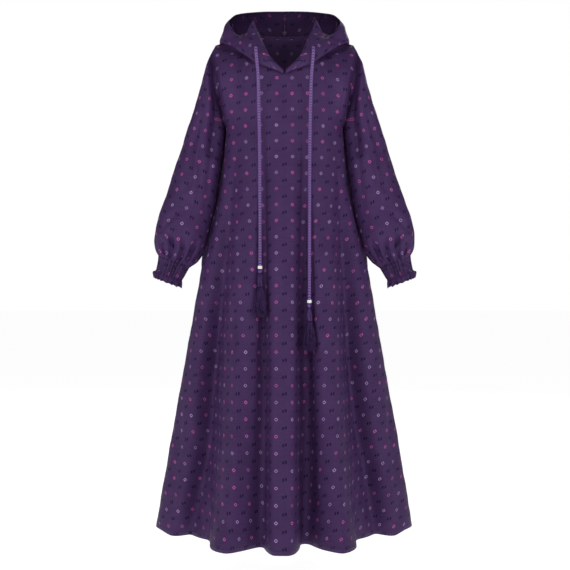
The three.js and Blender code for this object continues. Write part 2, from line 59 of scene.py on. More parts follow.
class Wire:  # a socket that takes Python's operators
    def __init__(self, material, socket):
        self.material, self.socket = material, socket

    def maths(self, operation, *others):
        return makeNode(self.material, "ShaderNodeMath", {"operation": operation},
                        dict(enumerate((self, *others))))

    def __add__(self, other):
        return self.maths("ADD", other)

    def __sub__(self, other):
        return self.maths("SUBTRACT", other)

    def __mul__(self, other):
        return self.maths("MULTIPLY", other)

    def __truediv__(self, other):
        return self.maths("DIVIDE", other)

    def __pow__(self, other):
        return self.maths("POWER", other)

    def floor(self):
        return self.maths("FLOOR")

    def fraction(self):
        return self.maths("FRACT")

    def size(self):
        return self.maths("ABSOLUTE")

    def wave(self):
        return self.maths("SINE")

    def scaled(self, by, least):
        return self * by + least

    def step(self, low, high):  # 0 below low, 1 above high, smooth between
        return makeNode(self.material, "ShaderNodeMapRange",
                        {"interpolation_type": "SMOOTHSTEP"}, {0: self, 1: low, 2: high, 3: 0.0, 4: 1.0})


def setInputs(material, node, values):
    for key, value in values.items():
        if isinstance(value, Wire):
            material.node_tree.links.new(value.socket, node.inputs[key])
        else:
            node.inputs[key].default_value = value


def makeNode(material, kind, settings={}, values={}, out=0):
    node = material.node_tree.nodes.new(kind)
    for key, value in settings.items():
        setattr(node, key, value)
    setInputs(material, node, values)
    return Wire(material, node.outputs[out])


def newFinish(name):
    material = bpy.data.materials.new(name)
    material.use_nodes = True
    return material, material.node_tree.nodes["Principled BSDF"]


def blendColours(material, share, first, second):
    return makeNode(material, "ShaderNodeMix", {"data_type": "RGBA"}, {0: share, 6: first, 7: second}, out=2)


def axisOf(material, vector, axis):
    return makeNode(material, "ShaderNodeSeparateXYZ", {}, {0: vector}, out=axis)


def noiseOver(material, vector, scale, detail):
    return makeNode(material, "ShaderNodeTexNoise", {}, {"Vector": vector, "Scale": scale, "Detail": detail})


def bumpOf(material, height, strength, distance):
    return makeNode(material, "ShaderNodeBump", {},
                    {"Strength": strength, "Distance": distance, "Height": height})


def rgb(*levels):  # screen levels, 0 to 255, as scene-linear colour
    made = [((c / 255 + 0.055) / 1.055) ** 2.4 if c > 10 else c / 255 / 12.92 for c in levels]
    return (*made, 1)


def makePiece(name, points, faces):
    mesh = bpy.data.meshes.new(name)
    mesh.from_pydata([tuple(p) for p in points], [], [tuple(f) for f in faces])
    mesh.update()
    piece = bpy.data.objects.new(name, mesh)
    bpy.context.collection.objects.link(piece)
    mesh.polygons.foreach_set("use_smooth", [True] * len(mesh.polygons))
    return piece


def settle(piece, slot, finish, *nodes):
    piece.data.materials.clear()
    piece.data.materials.append(finish)
    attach(piece, "root")
    if nodes:
        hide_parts(*nodes)


def ease(t):
    t = np.clip(t, 0, 1)
    return t * t * (3 - 2 * t)


def spacing(a, b, least=1e-4):
    return np.maximum(np.linalg.norm(b - a, axis=-1, keepdims=True) ** 0.5, least)


def curveAt(points, shares):  # smooth curves through points[0], points[1] ..., read at shares from 0 to 1
    p = np.asarray(points, float)
    q = np.concatenate([[2 * p[0] - p[1]], p, [2 * p[-1] - p[-2]]])
    t = np.clip(np.asarray(shares, float), 0, 1) * (len(p) - 1)
    i = np.minimum(t.astype(int), len(p) - 2)
    w = (t - i).reshape([-1] + [1] * (p.ndim - 1))
    a, b, c, d = q[i], q[i + 1], q[i + 2], q[i + 3]
    ab, bc, cd = spacing(a, b), spacing(b, c), spacing(c, d)
    leave = ((b - a) / ab - (c - a) / (ab + bc) + (c - b) / bc) * bc
    arrive = ((c - b) / bc - (d - b) / (bc + cd) + (d - c) / cd) * bc
    return b + leave * w + (3 * (c - b) - 2 * leave - arrive) * w**2 + (2 * (b - c) + leave + arrive) * w**3


def runAlong(line):
    return np.concatenate([[0], np.cumsum(np.linalg.norm(np.diff(line, axis=0), axis=1))])


def evenly(points, count, fineness=40):  # the same line with its points at equal distances
    line = curveAt(points, np.linspace(0, 1, fineness * len(points)))
    run = runAlong(line)
    at = np.linspace(0, run[-1], count)
    return np.stack([np.interp(at, run, line[:, k]) for k in range(3)], 1), run[-1]


def sweepFrames(line):  # two directions across a line at each of its points
    ahead = np.gradient(line, axis=0)
    ahead /= np.linalg.norm(ahead, axis=1)[:, None]
    front = np.zeros_like(line)
    last = np.array([0.0, -1.0, 0.0])
    for k in range(len(line) - 1, -1, -1):
        last = last - last.dot(ahead[k]) * ahead[k]
        last /= np.linalg.norm(last)
        front[k] = last
    return front, np.cross(front, ahead)


# radiusAt(turn, run) is in metres, and the UV map holds turn, from 0 at the front, and run.
def tube(name, line, radiusAt, sides):
    front, side = sweepFrames(line)
    run = runAlong(line)
    turn = np.arange(sides) / sides
    radius = radiusAt(turn[None, :], run[:, None])
    a = 2 * np.pi * turn[None, :, None]
    points = line[:, None] + radius[..., None] * (np.cos(a) * front[:, None] + np.sin(a) * side[:, None])
    points = points.reshape(-1, 3)
    faces, uv = [], []
    for k in range(len(line) - 1):
        for s in range(sides):
            n = (s + 1) % sides
            faces.append((k * sides + s, (k + 1) * sides + s, (k + 1) * sides + n, k * sides + n))
            for row, column in ((k, s), (k + 1, s), (k + 1, s + 1), (k, s + 1)):
                uv += [column / sides, run[row]]
    faces.append(tuple(range(sides)))
    faces.append(tuple((len(line) - 1) * sides + s for s in reversed(range(sides))))
    uv += [0, 0] * (2 * sides)
    piece = makePiece(name, points, faces)
    piece.data.uv_layers.new(name="cord").data.foreach_set("uv", uv)
    return piece


# The cord's dark colour is painted shade in the grooves between the plaited strands, and its shade colour is
# painted shade between the yarns of each strand.
cordSet = {
    "radius": 0.00425, "rings": 420, "sides": 20, "pitch": 0.0148, "relief": 0.0009, "slant": 0.32,
    "round": 0.6, "grooveShadeRange": (0.28, 0.18), "groove": (0.5, 0.2), "yarns": 75.0, "fuzz": 900.0,
    "bump": (0.7, 0.0006), "thread": (0.3, 0.7), "heights": (0.8, 0.25, 0.2), "rough": (0.2, 0.42),
    "sheen": 0.25, "grooveShade": rgb(24, 10, 42), "light": rgb(158, 110, 206), "shade": rgb(46, 26, 84),
}
cordRoutes = {
    "left": [
        (0.0775, -0.1229, -0.0315), (0.0775, -0.1294, -0.035), (0.0772, -0.1326, -0.043),
        (0.0766, -0.1322, -0.056), (0.0756, -0.1314, -0.07), (0.0724, -0.1282, -0.11),
        (0.0697, -0.1266, -0.198), (0.0685, -0.1272, -0.266), (0.0674, -0.1378, -0.362),
        (0.0669, -0.1478, -0.443), (0.0664, -0.1565, -0.523), (0.066, -0.163, -0.603),
        (0.0659, -0.1676, -0.656), (0.0658, -0.1716, -0.694), (0.0658, -0.172, -0.718),
    ],
    "right": [
        (-0.0767, -0.1229, -0.0315), (-0.0766, -0.1294, -0.035), (-0.076, -0.1326, -0.043),
        (-0.075, -0.1322, -0.056), (-0.0738, -0.1314, -0.07), (-0.0705, -0.1282, -0.11),
        (-0.0687, -0.1268, -0.198), (-0.0671, -0.1276, -0.266), (-0.066, -0.1386, -0.362),
        (-0.0653, -0.149, -0.443), (-0.0648, -0.1582, -0.523), (-0.0646, -0.1648, -0.572),
        (-0.0646, -0.1686, -0.606), (-0.0646, -0.169, -0.628),
    ],
}


def plaitFinish():
    material, shader = newFinish("plaited_cord")
    uv = makeNode(material, "ShaderNodeUVMap", {"uv_map": "cord"})
    turn, run = axisOf(material, uv, 0), axisOf(material, uv, 1)
    side = ((turn * 2.0).fraction() - 0.5).size() * 2.0  # 1 at the front and back, 0 at the sides
    slant = run / cordSet["pitch"] + side * cordSet["slant"]
    across = ((slant * 2.0).fraction() - 0.5).size()
    thread = (slant * cordSet["yarns"]).wave().scaled(0.5, 0.5).scaled(*cordSet["thread"])
    fuzz = noiseOver(material, uv, cordSet["fuzz"], 2.0)
    # The crowns of the strands take the light colour and the grooves the dark one, which is painted shade in
    # the grooves.
    base = blendColours(material, across.step(*cordSet["grooveShadeRange"]), cordSet["grooveShade"], cordSet["light"])
    # Between the yarns the colour goes towards the shade colour: painted shade in the small grooves there.
    colour = blendColours(material, thread, cordSet["shade"], base)
    strandHeight, fuzzHeight, threadHeight = cordSet["heights"]
    height = across.step(*cordSet["groove"]) * strandHeight + fuzz * fuzzHeight + thread * threadHeight
    setInputs(material, shader, {
        "Base Color": colour, "Roughness": fuzz.scaled(*cordSet["rough"]),
        "Normal": bumpOf(material, height, *cordSet["bump"]), "Sheen Weight": cordSet["sheen"],
    })
    return material


def plaitRadius(turn, run):  # strands that cross in V shapes down the front and the back
    way = np.abs(np.mod(turn * 2, 1) - 0.5) * 2
    slant = run / cordSet["pitch"] + way * cordSet["slant"]
    return cordSet["radius"] - cordSet["relief"] * (1 - np.abs(np.sin(2 * np.pi * slant)) ** cordSet["round"])


plait = plaitFinish()
cords = {}
for side, route in cordRoutes.items():
    line, length = evenly(route, cordSet["rings"])
    piece = tube("drawcord_" + side, line, plaitRadius, cordSet["sides"])
    settle(piece, "cord", plait, "cord_" + side)
    cords[side] = {"piece": piece, "line": line, "length": length, "end": Vector(route[-1])}
print("cords made", {k: round(c["length"], 3) for k, c in cords.items()})

# The cloth is laid out in millimetres. An angle is in degrees from the middle of the front.
body = {
    "underarmZ": -232, "hemZ": -1355, "halfWidth": 163, "frontDepth": 122, "backDepth": 116,
    "sideFlare": 0.177, "frontFlare": 0.15, "backFlare": 0.15, "sleeveDent": 14, "sleeveDentFall": 390,
    "hemSideRise": 12, "riseFrom": 0.97, "riseOver": 0.03, "hemFullness": 0.9, "chestFullness": 0.66,
    "fullnessRate": 1.6, "foldStart": 0.05, "foldGrowth": 1.15, "clothThickness": 1.1, "seamGap": 0.04,
}
sideRidge = {
    "at": 108, "half": 16, "heightAtUnderarm": 0.13, "heightBelow": 0.19, "growth": 240, "start": -20,
    "full": 10, "fade": 340, "end": 500,
}
yoke = {
    "leanFrom": 0.4, "leanOver": 0.8, "outward": -0.1, "forward": 0.12, "frontArrive": 0.1,
    "backArrive": 0.45, "shoulderArrive": 0.9, "shoulderRise": 0.45, "pull": 1.7, "pullBelow": 3.5,
}
folds = [  # angle under the arms, angle at the hem, depth, half-width
    (-50, -57, 0.31, 34), (-15, -14.5, 0.27, 11), (14, 13, 0.38, 12), (50, 57, 0.34, 36),
    (112, 116, 0.28, 23), (150, 149, 0.25, 14), (181, 180, 0.33, 14), (211, 212, 0.26, 14),
    (248, 244, 0.28, 23),
]
strips = {
    "armholeRows": 48, "skirtRows": 96, "frontNeck": 44, "shoulder": 30, "backNeck": 30,
    "sleeveRows": 110, "cuffRows": 34, "standRows": 5, "hoodRows": 64,
}
frontNeckline = [
    (0, -100, -96), (28, -104, -87), (57, -104, -76), (77, -96, -60), (92, -76, -35), (100, -45, -2),
    (102, -5, 27),
]
backNeckline = [(102, -5, 27), (94, 40, 36), (70, 72, 39), (38, 86, 40), (0, 90, 40)]
shoulderEnd = (193.5, 5, 3)
armhole = {
    "frontLow": (180, -90, -210), "frontHigh": (216, -98, -72),
    "backLow": (180, 88, -210), "backHigh": (216, 102, -68),
}
sleeveRings = [  # inner edge x, z; outer edge x, z; forward; half-depth; bow x, z; gather
    (165.3, -249, 210, -31, 1, 76, 13, -2, 0), (169, -293, 235, -121, 5, 73, 7, 5, 0),
    (175.5, -350, 261, -207, 9, 71, 2, 3, 0), (183, -406, 288, -291, 14, 69, 0, 0, 0),
    (192.5, -458, 315, -375, 18, 68, 0, 0, 0), (203, -505, 341, -455, 22, 67, 0, 0, 0),
    (213.5, -545, 357, -508, 24, 67, 0, 0, 0.3), (225, -580, 359, -548, 25, 64, 0, 0, 1.6),
    (244, -603, 352, -575, 26, 55, 0, 0, 4), (269, -622, 345, -590, 26, 41, 0, 0, 3.6),
]
cuffRings = [  # inner edge x, z; outer edge x, z; forward; half-depth; pucker; wave
    (276, -636, 348, -604, 26, 37, 2.6, 0), (282, -647, 351, -618, 26, 36, 2.4, 0),
    (287, -655, 354, -629, 26, 36, 2.0, 0.5), (287, -665, 361, -633, 26, 40, 1, 3),
    (289, -676, 359, -649, 26, 43, 0, 4.2),
]
hoodSections = [  # from the front round to the nape: low, wall, hollow and rim
    ((2, -109, -99), (3, -115, -94), (5, -114, -88), (6, -108, -85)),
    ((28, -116, -87), (27, -121, -80), (25, -118, -73), (23, -110, -69)),
    ((60, -121, -77), (55, -126, -64), (49, -120, -53), (42, -108, -46)),
    ((80, -119, -67), (73, -125, -44), (65, -114, -27), (56, -93, -14)),
    ((97, -111, -54), (86, -115, -26), (76, -99, -4), (67, -77, 12)),
    ((112, -99, -41), (98, -102, -12), (86, -82, 12), (78, -60, 37)),
    ((127, -86, -29), (110, -87, -3), (97, -68, 18), (86, -48, 60)),
    ((141, -71, -18), (122, -70, 5), (110, -54, 13), (103, -37, 32)),
    ((154, -55, -9), (135, -56, 13), (126, -47, 17), (119, -37, 17)),
    ((166, -38, -1), (150, -46, 18), (142, -44, 25), (136, -40, 27)),
    ((175, -20, 6), (166, -30, 28), (157, -29, 38), (148, -25, 47)),
    ((181, 6, 11), (173, 4, 40), (166, 4, 55), (157, 4, 68)),
    ((177, 56, -8), (175, 66, 42), (167, 60, 70), (153, 48, 90)),
    ((152, 108, -48), (162, 128, 34), (155, 118, 82), (138, 92, 112)),
    ((110, 142, -88), (126, 176, 14), (117, 162, 92), (101, 130, 127)),
    ((58, 158, -115), (70, 202, 4), (63, 185, 92), (53, 148, 135)),
    ((0, 164, -124), (0, 210, 0), (0, 194, 90), (0, 156, 137)),
]


def mix(a, b, t):
    return a + (b - a) * t


def unit(v):
    return v / max(np.linalg.norm(v), 1e-9)


def ridgeShare(angle, drop):  # the body stands out a little behind each sleeve
    rise = ease((drop - sideRidge["start"]) / (sideRidge["full"] - sideRidge["start"]))
    rise = rise * (1 - ease((drop - sideRidge["fade"]) / (sideRidge["end"] - sideRidge["fade"])))
    share = 0
    for middle in (sideRidge["at"], -sideRidge["at"]):
        away = ((angle - middle + 180) % 360 - 180) / sideRidge["half"]
        share = share + (np.abs(away) < 1) * np.cos(np.pi / 2 * away) ** 2
    height = mix(sideRidge["heightAtUnderarm"], sideRidge["heightBelow"], ease(drop / sideRidge["growth"]))
    return height * rise * share


def foldedShare(angle, fall):
    strength = mix(body["foldStart"], 1, fall ** body["foldGrowth"])
    share = np.ones_like(angle * fall)
    for at, atHem, depth, half in folds:
        away = (angle - mix(at, atHem, fall**3) + 180) % 360 - 180
        share = share - (np.abs(away) < half) * depth * strength * np.cos(np.pi / 2 * away / half) ** 2
    return share


def skirtPoints(angle, fall):
    angle, fall = np.broadcast_arrays(np.asarray(angle, float), np.asarray(fall, float))
    turn = np.radians(angle)
    sideways = np.abs(np.sin(turn))
    rise = body["hemSideRise"] * ease((sideways - body["riseFrom"]) / body["riseOver"])
    z = mix(body["underarmZ"], body["hemZ"] + rise, fall)
    drop = body["underarmZ"] - z
    share = foldedShare(angle, fall) + ridgeShare(angle, drop)
    front = np.cos(turn) > 0
    depth = np.where(front, body["frontDepth"] + body["frontFlare"] * drop,
                     body["backDepth"] + body["backFlare"] * drop)
    dent = body["sleeveDent"] * np.sin(np.pi * np.minimum(1, drop / body["sleeveDentFall"]))
    width = body["halfWidth"] + body["sideFlare"] * drop - dent
    fullness = mix(body["chestFullness"], body["hemFullness"], ease(body["fullnessRate"] * fall))
    forward = np.sign(np.cos(turn)) * np.abs(np.cos(turn)) ** fullness
    return np.stack([width * share * np.sin(turn), -depth * share * forward, z], -1)


def upperPoints(isFront, rises):  # above the underarm, from the centre out to the armhole
    neck = strips["frontNeck"] if isFront else strips["backNeck"]
    count = neck + strips["shoulder"]
    column = np.arange(count + 1)
    across = column / count
    line = curveAt(frontNeckline if isFront else backNeckline[::-1], column[: neck + 1] / neck)
    shoulder = mix(np.array(backNeckline[0], float), np.array(shoulderEnd, float),
                   (np.arange(1, strips["shoulder"] + 1) / strips["shoulder"])[:, None])
    top = np.vstack([line, shoulder])
    forward = -1 if isFront else 1
    start = skirtPoints(90 * across if isFront else 180 - 90 * across, 0.0)
    reach = np.linalg.norm(top - start, axis=1)[:, None]
    lean = ease((column - neck * yoke["leanFrom"]) / (neck * yoke["leanOver"]))
    leave = np.stack([yoke["outward"] * across, -forward * yoke["forward"] * (1 - across),
                      np.ones(count + 1)], 1) * reach
    towards = mix(yoke["frontArrive" if isFront else "backArrive"], yoke["shoulderArrive"], lean)
    arrive = np.stack([0 * across, -forward * towards, mix(1, yoke["shoulderRise"], lean)], 1) * reach
    r = rises[:, None, None]
    plain = (start * (2 * r**3 - 3 * r**2 + 1) + leave * (r**3 - 2 * r**2 + r)
             + top * (3 * r**2 - 2 * r**3) + arrive * (r**3 - r**2))
    low, high = (armhole[("front" if isFront else "back") + key] for key in ("Low", "High"))
    first = np.array([body["halfWidth"] * foldedShare(np.array(90.0), np.array(0.0)), 0, body["underarmZ"]])
    curve = ((1 - r) ** 3 * first + 3 * r * (1 - r) ** 2 * np.array(low, float)
             + 3 * r**2 * (1 - r) * np.array(high, float) + r**3 * np.array(shoulderEnd, float))
    pull = across[None, :] ** (yoke["pull"] + yoke["pullBelow"] * (1 - rises[:, None]) ** 3)
    return plain + pull[..., None] * (curve - plain[:, -1:])


def bodyRows(isFront):
    count = strips["shoulder"] + (strips["frontNeck"] if isFront else strips["backNeck"])
    angle = 90 * np.arange(-count, count + 1) / count
    fall = 1 - np.arange(strips["skirtRows"] + 1) / strips["skirtRows"]
    skirt = skirtPoints((angle if isFront else 180 - angle)[None, :], fall[:, None])
    upper = upperPoints(isFront, np.arange(1, strips["armholeRows"] + 1) / strips["armholeRows"])
    whole = np.concatenate([upper[:, :0:-1] * (-1, 1, 1), upper], axis=1)
    return np.concatenate([skirt, whole])


# One ring of a sleeve or cuff: it starts next to the body and goes round by the front.
def ringPoints(ring, count, bulge, bow=(0, 0)):
    turn = 2 * np.pi * np.arange(count) / count
    inward = (1 + np.cos(turn)) / 2
    made = np.stack([mix(ring[2], ring[0], inward), -ring[4] - ring[5] * np.sin(turn),
                     mix(ring[3], ring[1], inward)], 1)
    middle = np.array([(ring[0] + ring[2]) / 2, -ring[4], (ring[1] + ring[3]) / 2])
    out = made - middle
    out /= np.linalg.norm(out, axis=1)[:, None]
    made = made + np.array([bow[0], 0, bow[1]]) * (np.sin(turn) ** 2)[:, None]
    return made + out * np.broadcast_to(bulge, count)[:, None]


front, back = bodyRows(True), bodyRows(False)
skirtRows = strips["skirtRows"]
edges = np.concatenate([front[skirtRows:, -1], back[-2:skirtRows:-1, -1]])
armholeLoop = np.empty((2 * len(edges), 3))
armholeLoop[::2] = edges
armholeLoop[1::2] = (edges + np.roll(edges, -1, axis=0)) / 2
around = len(armholeLoop)
turnShare = np.arange(around) / around

# The gathers and the frill: how many there are, and how unevenly they stand. A waver is a size, a count of
# waves and a shift.
gatherSet = {
    "gathers": 21, "gatherWavers": [(0.55, 3, 1), (0.35, 5, 0)], "heightWavers": [(0.35, 4, 2), (0.25, 7, 0)],
    "frillWaves": 15, "frillWavers": [(0.4, 2, 2), (0.2, 5, 1)], "lobeWavers": [(0.3, 3, 0)],
    "lobe": 2.2, "lobeMiddle": 0.6, "lobeShares": [(-1, 1), (-2, 0.45)],
}


def wavering(start, key):
    for size, waves, shift in gatherSet[key]:
        start = start + size * np.sin(2 * np.pi * waves * turnShare + shift)
    return start


gatherPhase = 2 * np.pi * wavering(gatherSet["gathers"] * turnShare, "gatherWavers")
gathering = np.cos(gatherPhase) * wavering(1, "heightWavers")
frillPhase = 2 * np.pi * wavering(gatherSet["frillWaves"] * turnShare, "frillWavers")
lobes = wavering(1, "lobeWavers")
frilling = -np.cos(frillPhase) * lobes
# The frill's edge hangs in round lobes.
scallops = gatherSet["lobe"] * lobes * (gatherSet["lobeMiddle"] - np.sin(frillPhase / 2) ** 2)


def sleeveGrid():
    stops = [armholeLoop] + [ringPoints(r, around, r[8] * gathering, r[6:8]) for r in sleeveRings]
    return curveAt(np.array(stops), np.arange(strips["sleeveRows"] + 1) / strips["sleeveRows"])


def cuffGrid(first):
    stops = [first] + [ringPoints(r, around, r[6] * gathering + r[7] * frilling) for r in cuffRings]
    top, foot = (np.array(ring[:4]).reshape(2, 2).mean(0) for ring in (cuffRings[0], cuffRings[-1]))
    down = unit(foot - top)
    for ring, share in gatherSet["lobeShares"]:
        stops[ring] = stops[ring] - scallops[:, None] * share * np.array([down[0], 0, down[1]])
    return curveAt(np.array(stops), np.arange(strips["cuffRows"] + 1) / strips["cuffRows"])


def quadsOf(points, closed, turned):
    rows, across = points.shape[:2]
    cells = across if closed else across - 1
    r, c = np.meshgrid(np.arange(rows - 1), np.arange(cells), indexing="ij")
    r, c = r.ravel(), c.ravel()
    corners = np.stack([np.stack([r, c], 1), np.stack([r, c + 1], 1), np.stack([r + 1, c + 1], 1),
                        np.stack([r + 1, c], 1)], 1)
    return corners[:, ::-1] if turned else corners  # (cells, 4, row and column)


# The hood's first rows, how far it stands off the body, and how far it keeps above the cloth below it.
hoodSet = {
    "span": 60, "standOut": (1.5, 4.5), "standUp": (2.5, 7), "underUp": (1, 4), "standPart": 6,
    "lookFrom": 400, "clear": 2.6, "clearOver": 9,
}


def hoodGrid():
    neck = np.concatenate([front[-1, front.shape[1] // 2:][: strips["frontNeck"] + 1],
                           back[-1, back.shape[1] // 2:][: strips["backNeck"]][::-1]])
    at = np.arange(len(neck)) / (len(neck) - 1)
    low, wall, hollow, rim = (curveAt([s[k] for s in hoodSections], at) for k in range(4))
    span = np.linalg.norm(low - neck, axis=1)[:, None]
    lift = np.minimum(1, span / hoodSet["span"])
    out = (low - neck) * (1, 1, 0)
    out /= np.linalg.norm(out, axis=1)[:, None]
    stand = neck + out * mix(*hoodSet["standOut"], lift)
    stand[:, 2:] += mix(*hoodSet["standUp"], lift)
    under = (neck + low) / 2
    under[:, 2:] += mix(*hoodSet["underUp"], lift)
    standing = np.arange(strips["standRows"]) / strips["standRows"] / hoodSet["standPart"]
    rest = mix(1 / hoodSet["standPart"], 1, np.arange(strips["hoodRows"] + 1) / strips["hoodRows"])
    rows = curveAt(np.array([neck, stand, under, low, wall, hollow, rim]), np.concatenate([standing, rest]))
    solid = []
    for panel in (front, back):
        faces = quadsOf(panel[skirtRows:], False, False)
        flat = faces[..., 0] * panel.shape[1] + faces[..., 1]
        solid.append(BVHTree.FromPolygons([Vector(p) for p in panel[skirtRows:].reshape(-1, 3)],
                                          [tuple(int(k) for k in f) for f in flat]))
    for row in range(1, len(rows)):
        for column in range(len(neck)):
            x, y = rows[row, column, :2]
            for tree in solid:
                hit = tree.ray_cast(Vector((x, y, hoodSet["lookFrom"])), Vector((0, 0, -1)))[0]
                if hit:
                    far = np.linalg.norm(rows[row, column] - neck[column])
                    clear = hoodSet["clear"] * min(1, far / hoodSet["clearOver"])
                    rows[row, column, 2] = max(rows[row, column, 2], hit.z + clear)
    return rows


sleeve = sleeveGrid()
cuff = cuffGrid(sleeve[-1])
hood = hoodGrid()
print("cloth laid out")


def paired(line, *sizes):  # one crease on each side of the photograph's middle
    return (line, *sizes), ([(2 * eyePlace["column"] - x, y) for x, y in line], *sizes)


# Creases. Each is a line of points in the photograph's pixels, its half-width in pixels at both ends,
# and its depth in millimetres at the start, the middle and the end. A minus depth is a ridge.
frontCreases = [
    ([(237, 140), (232, 183), (228, 221), (223, 265), (219, 300), (214, 350), (210, 392), (208, 437),
      (204, 465), (198, 495), (190, 527), (182, 566)], (9, 15), (0, 46, 28)),
    ([(264, 130), (264.5, 190), (263.5, 260), (263, 330), (263.5, 420), (263, 568)], (5.5, 8.5), (3, 23, 9)),
    ([(302, 118), (303.5, 170), (305, 240), (306, 330), (307.5, 430), (308, 568)], (8, 13), (4, 37, 12)),
    ([(335, 138), (339.5, 183), (342.5, 221), (345, 262), (348, 300), (351, 345), (354.5, 392), (359, 430),
      (364, 455), (370, 492), (376, 527), (384, 566)], (9, 15), (0, 48, 32)),
    ([(222, 190), (204, 300), (192, 400), (176, 562)], (8, 12), (0, -8, -3)),
    ([(348, 190), (366, 300), (377, 400), (393, 562)], (8, 12), (0, -8, -3)),
    ([(236, 190), (238, 300), (236, 400), (229, 566)], (7, 10), (0, -6, -2)),
    ([(331, 190), (332, 300), (337, 400), (347, 566)], (7, 10), (0, -6, -2)),
    *paired([(211, 52), (213.5, 74), (216.5, 98), (217.5, 118), (212, 150)], (6, 10), (15, 30, 20)),
    *paired([(219, 62), (223, 84), (228, 108)], (1.6, 2), (2.5, 3, 1)),
    *paired([(221, 46), (240, 52.5), (256, 60), (270, 67), (281, 71)], (5, 5), (6, 8, 2)),
    ([(246, 250), (243, 330), (240, 420), (236, 500)], (3, 5), (0, 3.5, 1)),
    ([(281, 235), (279, 330), (277, 430), (276, 520)], (3, 4.5), (0, 2.5, 1.5)),
    ([(325, 265), (327, 350), (330, 430), (336, 510)], (3, 5), (0, 3.5, 1)),
    ([(185, 380), (178, 440), (171, 505)], (4, 7), (0, 6, 4)),
    ([(385, 372), (392, 440), (399, 505)], (4, 7), (0, 6, 4)),
    ([(229, 118), (238, 126), (249, 130)], (2.2, 3), (3, 2.5, 0)),
    ([(340, 117), (331, 124), (322, 127)], (2.2, 3), (3, 2.5, 0)),
    ([(229, 131), (235, 141), (240, 155)], (2, 3), (3, 2, 0)),
    ([(340, 130), (334, 142), (330, 158)], (2, 3), (3, 2, 0)),
    ([(247, 64), (243, 78), (238, 96)], (2.5, 4), (3, 3, 0)),
    ([(322, 65), (326, 79), (331, 95)], (2.5, 4), (3, 2.5, 0)),
    ([(273, 74), (268, 86), (262, 97)], (2, 3.5), (2.5, 2, 0)),
    ([(298, 74), (303, 87), (309, 98)], (2, 3.5), (2.5, 1.6, 0)),
    ([(214, 95), (211, 150), (207, 195), (201, 235)], (4, 6), (2, 5, 1)),
    ([(355, 95), (358, 148), (362, 196), (369, 236)], (4, 6), (2, 5, 1)),
    *paired([(160, 232), (170, 219), (185, 208)], (4, 5.5), (2, 7, 0)),
    ([(196, 176), (187, 187), (173, 196)], (4.5, 5.5), (0, 4.5, 0)),
    ([(206, 92), (198, 130), (186, 168)], (4.5, 6.5), (0, 8, 0)),
    ([(204, 105), (197, 153), (193, 205), (181, 228)], (4, 5), (0, -8, 0)),
    ([(188, 120), (178, 166), (167, 205)], (5, 6), (0, 7, 3)),
    ([(374, 174), (383, 187), (396, 197)], (4.5, 5.5), (0, 4.5, 0)),
    ([(363, 94), (372, 132), (385, 170)], (4.5, 6.5), (0, 8, 0)),
    ([(362, 100), (372, 145), (380, 190), (388, 220)], (4, 5), (0, -9, 0)),
    ([(383, 125), (392, 166), (402, 205)], (5, 6), (0, 7, 3)),
    *paired([(171, 257), (172.5, 246), (168, 230)], (2.8, 5.4), (16, 21, 0)),
    ([(179, 259), (183, 248), (184, 236)], (2.3, 3.8), (12, 14, 0)),
    ([(390, 259), (386, 248), (384, 236)], (2.3, 3.8), (12, 14, 0)),
    *paired([(188, 261), (192, 251), (199, 238)], (2.4, 4.4), (14, 17, 0)),
    *paired([(164, 254), (161, 245), (160, 235)], (1.9, 3), (8, 8, 0)),
    *paired([(194, 262), (201, 254), (206, 246)], (1.9, 3), (8, 8, 0)),
]
backCreases = [
    ([(233, 150), (224, 240), (214, 340), (204, 430), (190, 566)], (6, 12), (0, 28, 10)),
    ([(262, 130), (258, 230), (253, 350), (248, 450), (243, 568)], (5, 8), (2, 18, 7)),
    ([(286, 118), (285, 220), (284, 350), (285, 568)], (5.5, 9), (2, 24, 9)),
    ([(309, 135), (314, 240), (320, 350), (326, 450), (332, 568)], (5, 8), (2, 18, 7)),
    ([(338, 150), (347, 250), (357, 350), (368, 440), (382, 566)], (6, 12), (0, 28, 10)),
    *paired([(213, 58), (215, 80), (221, 104), (227, 126)], (2.2, 4.5), (3, 8, 9)),
    ([(236, 70), (243, 88), (252, 104)], (2.6, 4), (2, 3, 0)),
    ([(333, 70), (327, 88), (318, 106)], (2.6, 4), (2, 3, 0)),
    ([(230, 128), (241, 138), (253, 143)], (2.2, 3), (3, 2.5, 0)),
    ([(339, 127), (329, 139), (317, 145)], (2.2, 3), (3, 2.5, 0)),
    ([(209, 100), (204, 150), (197, 200)], (3.5, 5), (0, 4, 0)),
    ([(360, 100), (366, 152), (372, 204)], (3.5, 5), (0, 4, 0)),
    ([(160, 222), (171, 213), (186, 207)], (2.6, 3.6), (2, 4.5, 0)),
    ([(409, 224), (399, 214), (384, 207)], (2.6, 3.6), (2, 4.5, 0)),
    ([(194, 176), (184, 186), (172, 190)], (2.6, 3.4), (0, 3.5, 0)),
    ([(376, 173), (386, 184), (397, 189)], (2.6, 3.4), (0, 3.5, 0)),
    ([(170, 257), (171, 245), (168, 232)], (2.0, 3.6), (6, 7, 0)),
    ([(178, 259), (181, 248), (184, 235)], (1.7, 2.8), (5, 5, 0)),
    ([(187, 261), (192, 251), (199, 241)], (1.7, 3.0), (5, 5, 0)),
    ([(399, 257), (397, 246), (400, 233)], (2.0, 3.6), (6, 7, 0)),
    ([(391, 259), (388, 249), (385, 237)], (1.7, 2.8), (5, 5, 0)),
    ([(382, 261), (377, 252), (370, 243)], (1.7, 3.0), (5, 5, 0)),
]
hoodCreases = [
    ([(226, 50), (236, 44), (247, 45)], (2, 2.6), (1, 2.5, 0)),
    ([(344, 49), (334, 43), (324, 44)], (2, 2.6), (1, 2.5, 0)),
    ([(232, 34), (240, 44), (252, 56)], (1.8, 2.4), (1, 2, 1)),
    ([(338, 35), (330, 45), (318, 57)], (1.8, 2.4), (1, 2, 1)),
    ([(262, 52), (266, 60), (273, 67)], (1.5, 2), (0, 1.5, 1)),
    ([(307, 53), (303, 61), (296, 68)], (1.5, 2), (0, 1.5, 1)),
]
